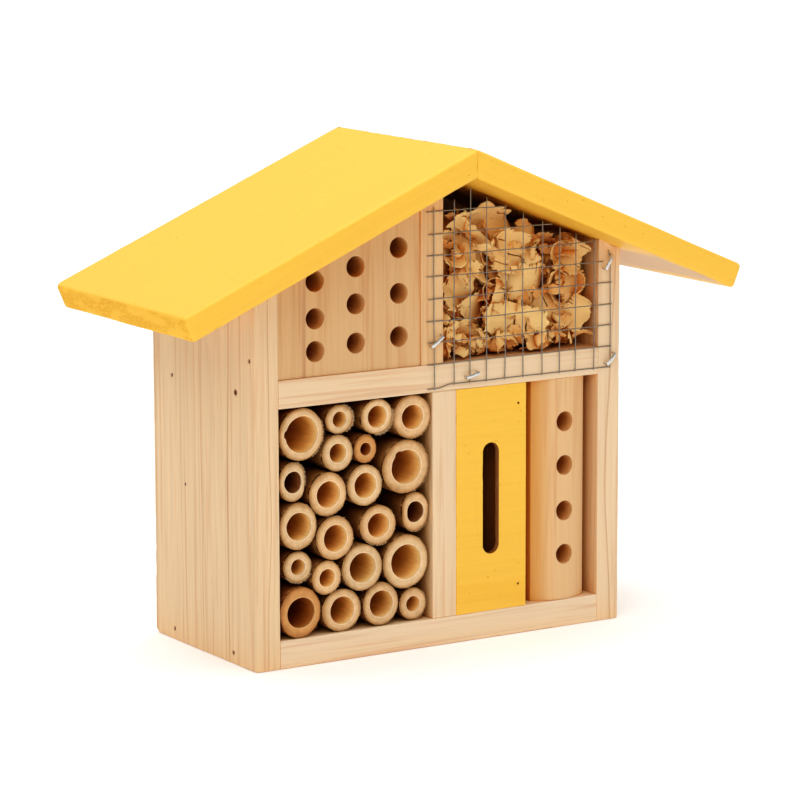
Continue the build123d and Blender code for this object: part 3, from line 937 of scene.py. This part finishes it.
def cane_look(tag, number, rng):
    """Materials of a cane, each a little lighter or darker than the next."""
    light = rng.uniform(0.94, 1.05)
    warm = rng.uniform(0.94, 1.01)
    tint = lambda c: (c[0] * light, c[1] * light * warm, c[2] * light * warm * warm)
    seed = number * 0.37
    if number in BROWN_CANES:
        return cane_finishes(tag, BROWN_SKIN, BROWN_END, BROWN_RIM, BROWN_BORE, seed)
    bore = BAMBOO_DARK_BORE if number in DARK_BORED_CANES else tint(BAMBOO_BORE)
    return cane_finishes(tag, tint(BAMBOO_SKIN), tint(BAMBOO_END), tint(BAMBOO_RIM), bore, seed)


# --- wood shavings ------------------------------------------------------------------------------------

SHAVING_THICKNESS = 0.22 * MM
# Large shavings near the mesh: x, z, how far behind the front, length, width, curl radius (negative curls
# away), turn in the front's plane, lean back, swing sideways, tone from pale to deep; in mm and degrees
FRONT_SHAVINGS = [
    (10, 180, 13, 52, 21, 34, 84, 6, 24, 0.20),
    (16, 172, 8, 46, 15, -26, 80, 4, -14, 0.05),
    (27, 186, 15, 44, 20, 20, 62, -12, 20, 0.35),
    (24, 190, 9, 42, 8, 60, -40, 48, 0, 0.30),
    (39, 193, 12, 24, 19, -12, 8, -24, 10, 0.20),
    (42, 182, 8, 24, 20, 14, 74, 12, -16, 0.05),
    (57, 187, 11, 22, 15, -11, -30, -20, 24, 0.30),
    (68, 178, 9, 26, 11, 8, 80, 8, 30, 0.25),
    (52, 166, 7, 25, 20, -16, -10, 8, 8, 0.02),
    (78, 177, 9, 20, 15, 9, 62, -16, -20, 0.30),
    (78, 162, 8, 24, 18, -12, -70, 14, 20, 0.35),
    (28, 164, 8, 28, 10, 7, 84, 22, 34, 0.25),
    (35, 161, 6, 36, 9, -40, 70, 15, 0, 0.02),
    (45, 157, 11, 20, 17, 8, 30, -30, 0, 0.50),
    (66, 163, 9, 26, 13, 10, 84, 16, 28, 0.20),
    (18, 153, 8, 34, 20, -22, 14, 18, 8, 0.10),
    (42, 150, 6, 40, 17, 26, -6, 4, -6, 0.06),
    (66, 152, 8, 28, 20, -18, 24, -14, 10, 0.15),
    (9, 143, 8, 24, 17, 10, 34, 20, 16, 0.25),
    (24, 141, 8, 26, 13, -9, -10, -20, -10, 0.30),
    (38, 141, 8, 22, 13, 8, 24, 16, 14, 0.35),
    (55, 140, 6, 15, 14, 5, 86, 0, 8, 0.05),
    (69, 143, 8, 24, 15, -10, -14, 18, 0, 0.45),
    (79, 149, 8, 22, 14, 9, 56, -16, -14, 0.15),
    (7, 163, 11, 28, 14, 12, 82, 22, 30, 0.35),
    (81, 186, 13, 20, 12, -9, 30, 10, 20, 0.35),
]


def shaving(bm, layers, place, length, width, curl, tone, seed, rng, cells):
    """One thin curled sheet with torn, toothed edges.

    Its length runs along X and its width along Y, until place moves it."""
    along, across = cells
    flake_layer, tone_layer = layers
    cone = rng.uniform(-0.35, 0.35)
    tighter = rng.uniform(-0.5, 0.9)
    teeth = [[(0.1 + 0.9 * (i % 2)) * rng.random() for i in range(along + 1)] for _ in range(2)]
    end_teeth = [[rng.random() ** 1.6 for _ in range(across + 1)] for _ in range(2)]

    def curl_at(s, t):
        """Point on the rolled sheet, for a distance along and across it."""
        turn = s * (1 + cone * t / width) / curl * (1 + tighter * s / length)
        if abs(turn) < 1e-6:
            return Vector((s, t, 0))
        reach = s / turn
        return Vector((reach * math.sin(turn), t, reach * (1 - math.cos(turn))))

    grid = []
    for i in range(along + 1):
        row = []
        u = i / along - 0.5
        for j in range(across + 1):
            v = j / across - 0.5
            # The outline: blunt ends, long waves, and teeth that come and go
            edge = 0.92 - 0.16 * abs(2 * u) ** 4 + 0.26 * wander((u * 4, 0.6 * (v > 0), 0), 1, seed)
            ragged = smoothstep(-0.25, 0.35, wander((u * 4, v > 0, 7), 1, seed + 9, 1))
            bite = teeth[v > 0][i] * (0.5 + 2.2 * ragged) * MM * smoothstep(0.80, 1.0, abs(2 * v))
            ends = 1 + 0.12 * wander((v * 3, 0.6 * (u > 0), 2), 1, seed + 5)
            chip = end_teeth[u > 0][j] * 1.7 * MM * smoothstep(0.84, 1.0, abs(2 * u))
            s = length * u * ends - math.copysign(chip, u)
            t = width * v * max(0.2, edge) - math.copysign(bite, v)
            point = curl_at(s, t)
            rim = max(abs(2 * u), abs(2 * v)) ** 5
            ripple = 0.7 * MM * wander((s, t, 0), 75, seed + 2, 2)
            point.z += ripple + 1.5 * MM * rim * wander((s, t, 0), 230, seed + 4, 2)
            vert = bm.verts.new(place @ point)
            vert[flake_layer] = Vector((s + seed, t, seed * 0.37))
            vert[tone_layer] = tone
            row.append(vert)
        grid.append(row)
    # Slits torn in from the edges
    slits = {}
    for _ in range(rng.choice((1, 2, 2, 3))):
        slits[rng.randrange(2, along - 2)] = (rng.choice((-1, 1)), rng.uniform(0.15, 0.6))
    for i in range(along):
        side, reach = slits.get(i, (0, 0))
        for j in range(across):
            v = ((j + 0.5) / across - 0.5) * 2
            if side and side * v > 1 - reach * 2:
                continue
            bm.faces.new((grid[i][j], grid[i + 1][j], grid[i + 1][j + 1], grid[i][j + 1]))


def shavings_group(name, specs, seed, cells):
    """Object of several shavings, each a closed thin solid."""
    rng = random.Random(seed)
    bm = bmesh.new()
    layers = (bm.verts.layers.float_vector.new("flake"), bm.verts.layers.float.new("tone"))
    for number, (x, z, depth, length, width, curl, turn, lean, swing, tone) in enumerate(specs):
        rotation = Matrix.Rotation(math.radians(-turn), 4, "Y")
        # The sheet lies in the front's plane before it leans and swings
        upright = Matrix.Rotation(math.radians(90 + lean), 4, "X")
        swung = Matrix.Rotation(math.radians(swing), 4, "Z")
        origin = Matrix.Translation((x * MM, FRONT_Y + depth * MM, z * MM))
        place = origin @ swung @ rotation @ upright
        shaving(bm, layers, place, length * MM, width * MM, curl * MM, tone, seed + number * 1.7, rng, cells)
    keep_inside(bm)
    thicken(bm, layers)
    return add_object(name, bm, [SHAVING_FINISH])


def thicken(bm, layers):
    """Gives open sheets a second side and a closed rim."""
    bm.normal_update()
    for vert in [v for v in bm.verts if not v.link_faces]:
        bm.verts.remove(vert)
    under = {}
    for vert in bm.verts[:]:
        under[vert] = bm.verts.new(vert.co - vert.normal * SHAVING_THICKNESS)
        for layer in layers:
            under[vert][layer] = vert[layer]
    faces = bm.faces[:]
    loops = [loop for face in faces for loop in face.loops if loop.edge.is_boundary]
    rims = [(loop.vert, loop.link_loop_next.vert) for loop in loops]
    for face in faces:
        bm.faces.new([under[vert] for vert in reversed(face.verts)])
    for one, other in rims:
        bm.faces.new((other, one, under[one], under[other]))


def keep_inside(bm):
    """Trims the shavings at the mesh and the back, and holds them between the boards."""
    low_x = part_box("upper_divider")[1].x + 0.5 * MM
    high_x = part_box("right_wall")[0].x - 0.5 * MM
    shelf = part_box("shelf")[1].z + 0.5 * MM
    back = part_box("back_panel")[0].y - 1.0 * MM
    for v in bm.verts:
        roof = ROOF_UNDER_RIDGE - abs(v.co.x) * ROOF_RISE - 1.5 * MM
        v.co.x = soft_limit(v.co.x, low_x, high_x)
        v.co.z = soft_limit(v.co.z, shelf, roof)
        v.co.y = soft_limit(v.co.y, FRONT_Y + 1.0 * MM, back, 1.2 * MM)


def soft_limit(value, low, high, zone=2.5 * MM):
    """Value pressed gently into a range, so that a sheet bends along a board and doesn't fold flat on it."""
    if value < low + zone:
        value = low + zone * math.exp((value - low - zone) / zone)
    if value > high - zone:
        value = high - zone * math.exp((high - zone - value) / zone)
    return value


def wood_shavings():
    """Heap of shavings behind the mesh, densest near the front."""
    rng = random.Random(77)
    middle, back, crumbs = [], [], []
    # The shavings further back get deeper tones, as painted shade.
    for target, count, near, far in ((middle, 44, 13, 28), (back, 44, 24, 64)):
        for _ in range(count):
            x = rng.uniform(6, 82)
            z = rng.uniform(138, min(200, 209 - 0.35 * x) - 6)
            size = rng.uniform(18, 34)
            shape = (size, size * rng.uniform(0.35, 0.7), rng.uniform(6, 20) * rng.choice((-1, 1)))
            angles = (rng.uniform(-90, 90), rng.uniform(-55, 55), rng.uniform(-45, 45))
            target.append((x, z, rng.uniform(near, far), *shape, *angles, rng.uniform(0.35, 0.9)))
    for _ in range(96):
        size = rng.uniform(9, 19)
        x = rng.uniform(4, 84)
        z = rng.choice((rng.uniform(136, 146), rng.uniform(140, 196 - 0.2 * x)))
        shape = (size, size * rng.uniform(0.3, 0.6), rng.uniform(3, 9) * rng.choice((-1, 1)))
        angles = (rng.uniform(-90, 90), rng.uniform(-60, 60), rng.uniform(-60, 60))
        crumbs.append((x, z, rng.uniform(3, 13), *shape, *angles, rng.uniform(0.0, 0.7)))
    groups = [
        ("shavings_front", FRONT_SHAVINGS, 5, (52, 22)),
        ("shavings_middle", middle, 211, (30, 15)),
        ("shavings_back", back, 419, (18, 9)),
        ("shavings_crumbs", crumbs, 631, (22, 8)),
    ]
    for name, specs, seed, cells in groups:
        stand_for(shavings_group(name, specs, seed, cells), "shavings", "wood_shavings")


# --- mesh, staples and nails --------------------------------------------------------------------------

WIRE_RADIUS = 0.25 * MM
WIRE_SIDES = 10
WIRE_WAVER = 0.35 * MM
WELD_RADIUS = 0.42 * MM
STAPLE_WIDTH = 1.5 * MM
STAPLE_THICKNESS = 0.6 * MM
# In mm: the distance between the points along a wire
WIRE_STEP = 1.6
# In mm: where the wires run on the front, not quite evenly spaced
COLUMN_WIRES = (-5.1, 5.8, 14.6, 23.6, 34.0, 43.9, 54.7, 64.6, 73.6, 84.3, 93.6)
COLUMN_TOPS = (206.0, 208.6, 213.8, 208.7, 203.8, 199.9, 195.4, 191.9, 188.2, 184.3, 175.0)
ROW_WIRES = (123.2, 133.1, 143.1, 153.0, 163.5, 173.7, 183.5, 193.4, 203.6)
ROW_RIGHT_ENDS = (93.0, 94.8, 94.8, 94.8, 94.8, 89.6, 84.5, 60.6, 35.1)
ROW_LEFT_ENDS = (-8.6, -8.6, -8.2, -8.8, -7.9, -8.8, -8.6, -7.8, -9.0)


def wire(bm, points):
    """Round wire along points, with rounded ends."""
    rings = []
    for i, point in enumerate(points):
        ahead = points[min(i + 1, len(points) - 1)] - points[max(i - 1, 0)]
        side = ahead.cross(Vector((0, 1, 0))).normalized()
        up = side.cross(ahead).normalized()
        ring = []
        for k in range(WIRE_SIDES):
            turn = 2 * math.pi * k / WIRE_SIDES
            lump = 1 + 0.10 * wander(point + side * k, 500, k)
            out = side * math.cos(turn) + up * math.sin(turn)
            ring.append(bm.verts.new(point + out * WIRE_RADIUS * lump))
        rings.append(ring)
    bridge(bm, rings)
    for ring, toward in ((rings[0], points[0] - points[1]), (rings[-1], points[-1] - points[-2])):
        middle = sum((v.co for v in ring), Vector()) / WIRE_SIDES
        tip = bm.verts.new(middle + toward.normalized() * WIRE_RADIUS * 0.6)
        for k in range(WIRE_SIDES):
            bm.faces.new((ring[k], ring[(k + 1) % WIRE_SIDES], tip))


def wire_mesh():
    """Welded mesh of wires that are slightly wavy, with a blob of zinc at each crossing."""
    low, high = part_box("wire_mesh")
    middle_y = (low.y + high.y) / 2
    row_y, column_y = middle_y + WIRE_RADIUS, middle_y - WIRE_RADIUS
    bm = bmesh.new()

    def row_height(row, x):
        bend = WIRE_WAVER * wander((x, row * 0.3, 0), 26, row + 1)
        if row == 0:
            bend -= 1.5 * MM * smoothstep(4 * MM, -3 * MM, x)
        return ROW_WIRES[row] * MM + bend

    def column_place(column, z):
        return COLUMN_WIRES[column] * MM + WIRE_WAVER * wander((z, column * 0.3, 5), 26, column + 31)

    for row, (left, right) in enumerate(zip(ROW_LEFT_ENDS, ROW_RIGHT_ENDS)):
        count = round((right - left) / WIRE_STEP)
        places = [(left + (right - left) * k / count) * MM for k in range(count + 1)]
        wire(bm, [Vector((x, row_y, row_height(row, x))) for x in places])
    for column, top in enumerate(COLUMN_TOPS):
        bottom = row_height(0, COLUMN_WIRES[column] * MM) - 0.4 * MM
        count = round((top * MM - bottom) / (WIRE_STEP * MM))
        heights = [bottom + (top * MM - bottom) * k / count for k in range(count + 1)]
        points = [Vector((column_place(column, z), column_y, z)) for z in heights]
        if column == len(COLUMN_TOPS) - 1:
            points += [points[-1] + Vector((-0.5 * k, -0.12 * k, 1.3 * k)) * MM for k in range(1, 4)]
        wire(bm, points)
    for row, right in enumerate(ROW_RIGHT_ENDS):
        for column, top in enumerate(COLUMN_TOPS):
            x = COLUMN_WIRES[column] * MM
            z = row_height(row, x)
            if x < right * MM + MM and z < top * MM + MM:
                place = Matrix.Translation((column_place(column, z), (row_y + column_y) / 2, z))
                size = Matrix.Diagonal((WELD_RADIUS, WELD_RADIUS, WELD_RADIUS, 1))
                bmesh.ops.create_icosphere(bm, subdivisions=2, radius=1.0, matrix=place @ size)
    bmesh.ops.recalc_face_normals(bm, faces=bm.faces)
    finish = steel("galvanised_wire", ZINC, 0.50, 0.40)
    return stand_for(add_object("mesh_wires", bm, [finish]), "galvanised_wire", "wire_mesh")


def staples():
    """Bright staples over the mesh, each with a flat crown and two legs in the wood."""
    bm = bmesh.new()
    for low, high in (box_of(part) for part in separate_parts("mesh_staples")):
        size, middle = high - low, (low + high) / 2
        half = Vector((size.x / 2 - 0.45 * MM, 0, size.z / 2 - 0.45 * MM))
        crown_y = low.y - 0.5 * MM
        ends = (middle - half, middle + half)
        path = []
        for share in (0.0, 0.25, 0.5, 0.75, 1.0):
            at = ends[0].lerp(ends[1], share)
            path.append(Vector((at.x, crown_y - 0.25 * MM * math.sin(math.pi * share), at.z)))
        legs_in = [Vector((p.x, p.y + d * MM, p.z)) for p in (path[0],) for d in (7.0, 2.0, 0.5)]
        legs_out = [Vector((p.x, p.y + d * MM, p.z)) for p in (path[-1],) for d in (0.5, 2.0, 7.0)]
        flat_bar(bm, legs_in + path + legs_out, half.normalized())
    bmesh.ops.recalc_face_normals(bm, faces=bm.faces)
    finish = steel("staple_steel", STAPLE_STEEL, 0.24, 0.20, metallic=0.95)
    obj = add_object("staples", bm, [finish])
    bevel = obj.modifiers.new("round_edges", "BEVEL")
    bevel.width = 0.12 * MM
    bevel.segments = 2
    bevel.limit_method = "ANGLE"
    return stand_for(obj, "bright_steel", "mesh_staples")


def flat_bar(bm, points, direction):
    """Flat wire along points that lie in one plane. direction runs from leg to leg."""
    side = direction.cross(Vector((0, 1, 0))).normalized()
    rings = []
    for i, point in enumerate(points):
        ahead = (points[min(i + 1, len(points) - 1)] - points[max(i - 1, 0)]).normalized()
        up = side.cross(ahead).normalized()
        ring = []
        for a, b in ((1, 1), (1, -1), (-1, -1), (-1, 1)):
            corner = point + side * a * STAPLE_WIDTH / 2 + up * b * STAPLE_THICKNESS / 2
            ring.append(bm.verts.new(corner))
        rings.append(ring)
    bm.faces.new(rings[0])
    bm.faces.new(rings[-1])
    bridge(bm, rings)


def nails(name, node, finish, nearness):
    """Nails in place of a CAD group. nearness is greater at a nail's head than at its point."""
    bm = bmesh.new()
    for number, part in enumerate(separate_parts(node)):
        one, other, radius = long_axis(part)
        head, tip = (one, other) if nearness(one) > nearness(other) else (other, one)
        length = (tip - head).length
        shank = radius * 0.6
        profile = [(0.0, radius * 0.55), (0.06 * MM, radius * 0.85), (0.25 * MM, radius)]
        profile += [(0.7 * MM, radius * 0.97), (1.0 * MM, shank)]
        for k in range(5):
            at = 1.6 * MM + k * 0.9 * MM
            profile += [(at, shank), (at + 0.25 * MM, shank * 1.08), (at + 0.5 * MM, shank)]
        profile += [(length - 3 * shank, shank), (length - 0.1 * MM, shank * 0.15)]
        lathe(bm, profile, 18, facing(head, tip - head), ragged=0.01, seed=number)
    bmesh.ops.recalc_face_normals(bm, faces=bm.faces)
    return stand_for(add_object(name, bm, [finish]), "bright_steel", node)


# --- everything in its place --------------------------------------------------------------------------

SHAVING_FINISH = shaving_finish()

LEFT_FACE = -100 * MM
# A small mark that no nail makes: how far behind the front, how high, and its radius
MARK_BEHIND, MARK_HEIGHT, MARK_RADIUS = 65.1 * MM, 76.3 * MM, 0.6 * MM
left_stains = [((LEFT_FACE, FRONT_Y + MARK_BEHIND, MARK_HEIGHT), MARK_RADIUS)]
for low_corner, high_corner in (box_of(part) for part in separate_parts("left_wall_nails")):
    nail_middle = (low_corner + high_corner) / 2
    widest = 100 * MM < nail_middle.z < 140 * MM and nail_middle.y < 0
    left_stains.append(((LEFT_FACE, nail_middle.y, nail_middle.z), (1.15 if widest else 0.7) * MM))
left_finish = pine("pine_left", Z, (-0.125, -0.085), 3.6 * MM, 5.3, lines=1.9, waver=5 * MM, fibres=0.17,
                   stains=left_stains)
side_wall("left_wall", -1, left_finish, 2.0, "left_wall_nails")
right_finish = pine("pine_right", Z, (0.075, -0.072), 4.0 * MM, 8.3, lines=0.9, waver=5 * MM, color=PINE_PALE)
side_wall("right_wall", 1, right_finish, 5.0, "right_wall_nails")
base_finish = pine("pine_base", X, (-0.055, 0.030), 5.0 * MM, 4.4, lines=0.5, color=PINE_BASE)
wooden_piece("pine_base_board", "base_board", "pine", base_finish, 11.0,
             cutters=[nail_pits("base_nails", Z, -1)])
shelf_finish = pine("pine_shelf", X, (-0.020, 0.190), 6.5 * MM, 5.7, lines=0.45, color=PINE_PALE)
wooden_piece("pine_shelf", "shelf", "pine", shelf_finish, 13.0)
lower_finish = pine("pine_lower_divider", Z, (0.055, -0.045), 5.5 * MM, 6.2, lines=1.0, color=PINE_PALE)
wooden_piece("pine_lower_divider", "lower_divider", "pine", lower_finish, 17.0)
upper_finish = pine("pine_upper_divider", Z, (0.045, -0.055), 5.0 * MM, 7.9, lines=0.5, color=PINE_AMBER)
wooden_piece("pine_upper_divider", "upper_divider", "pine", upper_finish, 19.0)
# The partition's pine is painted lighter, as light in its narrow gap.
partition_finish = pine("pine_partition", Z, (0.09, -0.06), 5.0 * MM, 9.6, color=PINE_PARTITION_PAINTED_LIGHT)
partition = wooden_piece("pine_panel_partition", "panel_partition", "pine", partition_finish, 21.0)
# Painted shade: the partition's faces inside the dark chamber behind the slot get a dark brown finish.
chamber_shade_finish = pine("partition_chamber_shade", Z, (0.09, -0.06), seed=9.6, color=CORE_BROWN_AND_SHADE, lines=0.3)
partition.data.materials.append(chamber_shade_finish)
for face in partition.data.polygons:
    if face.normal.x < -0.7:
        face.material_index = 1
back_finish = pine("pine_back", X, (0.115, 0.06), 6.0 * MM, 12.4)
wooden_piece("pine_back_panel", "back_panel", "pine", back_finish, 23.0, tucked=0.5 * MM,
             cutters=[nail_pits("back_panel_nails", Y, 1)])
block_finish = pine("pine_drilled_block", Z, (-0.14, -0.085), 5.0 * MM, 2.2, lines=1.3, color=PINE_WARM,
                    waver=8 * MM)
drilled_block(block_finish)
# The round block's left part is painted deeper, as shade beside the slotted panel.
round_finish = pine("pine_round_block", Z, (0.05, 0.02), 6.5 * MM, 10.8, lines=0.5, color=PINE_AMBER,
                    shade_span_x=(64 * MM, 53 * MM))
round_front_block(round_finish)
left_paint = yellow_paint("paint_left", X, (-0.02, 0.30), 1.3, ROOF_SLOPE, bare_below=-1)
roof_board("roof_board_left", -1, left_paint, 43.0, longer=0.4 * MM, deeper=3 * MM, skew=0.003)
right_paint = yellow_paint("paint_right", X, (-0.03, 0.30), 2.6, -ROOF_SLOPE, bare_below=1)
roof_board("roof_board_right", 1, right_paint, 47.0, longer=-1.5 * MM, deeper=3 * MM, skew=-0.02)
# Bare core brown, partly painted shade, for the faces inside the slot.
core_finish = pine("panel_core_shaded", X, (-0.10, 0.02), seed=4.6, color=CORE_BROWN_AND_SHADE)
slotted_panel(yellow_paint("paint_panel", X, (-0.10, 0.02), 3.9), core_finish)

for cane_number in range(1, 23):
    cane(cane_number)

wood_shavings()
wire_mesh()
staples()
nail_finish = steel("nail_steel", NAIL_STEEL, 0.8, 0.35, metallic=0.0)
shelf_middle = (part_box("shelf")[0].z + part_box("shelf")[1].z) / 2
# Piece, CAD group, and a number that is greater at a nail's head than at its point
NAIL_GROUPS = [
    ("brads_left_wall", "left_wall_nails", lambda end: -end.x),
    ("brads_right_wall", "right_wall_nails", lambda end: end.x),
    ("brads_roof", "roof_nails", lambda end: end.z),
    ("brads_base", "base_nails", lambda end: -end.z),
    ("brads_shelf", "shelf_nails", lambda end: -abs(end.z - shelf_middle)),
    ("brads_back_panel", "back_panel_nails", lambda end: end.y),
    ("pins_panel", "panel_pins", lambda end: -end.y),
]
for piece, group, head_end in NAIL_GROUPS:
    nails(piece, group, nail_finish, head_end)


# --- studio -------------------------------------------------------------------------------------------

FLOOR_HEIGHT = -0.15 * MM
OBJECT_MIDDLE = (0, 0, 0.12)
KEY_DIRECTION = (0.557, 0.663, -0.50)
KEY_STRENGTH = 0.37
KEY_ANGLE = math.radians(22)
CAMERA_PLACE = (-0.9026, -1.4388, 0.4133)
CAMERA_TARGET = (0.0105, 0.0209, 0.1069)
CAMERA_ROLL = math.radians(-0.17)
# In millimetres
CAMERA_LENS = 165.5
SENSOR_WIDTH = 36.0


def studio_floor():
    """Wide pale floor."""
    bm = bmesh.new()
    bmesh.ops.create_grid(bm, x_segments=2, y_segments=2, size=6.0)
    finish = Finish("studio_floor", roughness=0.9, specular=0.0)
    color = finish.shade_by((0.97, 0.97, 0.97), finish.noise(finish.coords["Object"], 3, 2.0), 0.004)
    finish.put(finish.shader, "Emission Color", (1, 1, 1, 1))
    finish.put(finish.shader, "Emission Strength", 0.12)
    floor = add_object("studio_floor", bm, [finish.finish(color, hollow_shade=False)])
    floor.location = (0, 0, FLOOR_HEIGHT)


def soft_light(name, place, target, size, power):
    """Square soft box that faces a target."""
    data = bpy.data.lights.new(name, "AREA")
    data.shape = "SQUARE"
    data.size = size
    data.energy = power
    light = bpy.data.objects.new(name, data)
    light.location = place
    light.rotation_euler = (Vector(target) - Vector(place)).to_track_quat("-Z", "Y").to_euler()
    bpy.context.scene.collection.objects.link(light)


def studio_lights():
    """White room, brightest overhead, with a key from the upper left front and two soft boxes."""
    world = bpy.data.worlds.new("white_room")
    world.use_nodes = True
    nodes, links = world.node_tree.nodes, world.node_tree.links
    height = nodes.new("ShaderNodeSeparateXYZ")
    links.new(nodes.new("ShaderNodeTexCoord").outputs["Generated"], height.inputs[0])
    glow = nodes.new("ShaderNodeMapRange")
    links.new(height.outputs[Z], glow.inputs["Value"])
    glow.inputs["To Min"].default_value = 0.15
    glow.inputs["To Max"].default_value = 1.02
    background = nodes["Background"]
    background.inputs["Color"].default_value = (1, 1, 1, 1)
    links.new(glow.outputs[0], background.inputs["Strength"])
    bpy.context.scene.world = world
    soft_light("overhead", (-0.1, 0.0, 1.20), OBJECT_MIDDLE, 0.9, 4.5)
    soft_light("front", (-1.1, -2.2, 0.45), OBJECT_MIDDLE, 1.6, 3.2)
    sun = bpy.data.lights.new("key", "SUN")
    sun.energy = KEY_STRENGTH
    sun.angle = KEY_ANGLE
    key = bpy.data.objects.new("key", sun)
    key.rotation_euler = Vector(KEY_DIRECTION).to_track_quat("-Z", "Y").to_euler()
    bpy.context.scene.collection.objects.link(key)


def camera():
    """Camera in front, to the left and a little above."""
    place, target = Vector(CAMERA_PLACE), Vector(CAMERA_TARGET)
    data = bpy.data.cameras.new("camera")
    data.sensor_width = SENSOR_WIDTH
    data.lens = CAMERA_LENS
    data.clip_start, data.clip_end = 0.05, 50
    made = bpy.data.objects.new("camera", data)
    made.location = place
    made.rotation_mode = "QUATERNION"
    roll = Quaternion((0, 0, 1), CAMERA_ROLL)
    made.rotation_quaternion = (target - place).to_track_quat("-Z", "Y") @ roll
    bpy.context.scene.collection.objects.link(made)
    bpy.context.scene.camera = made


studio_floor()
studio_lights()
camera()
bpy.context.scene.view_settings.view_transform = "Standard"
bpy.context.scene.view_settings.look = "Medium High Contrast"
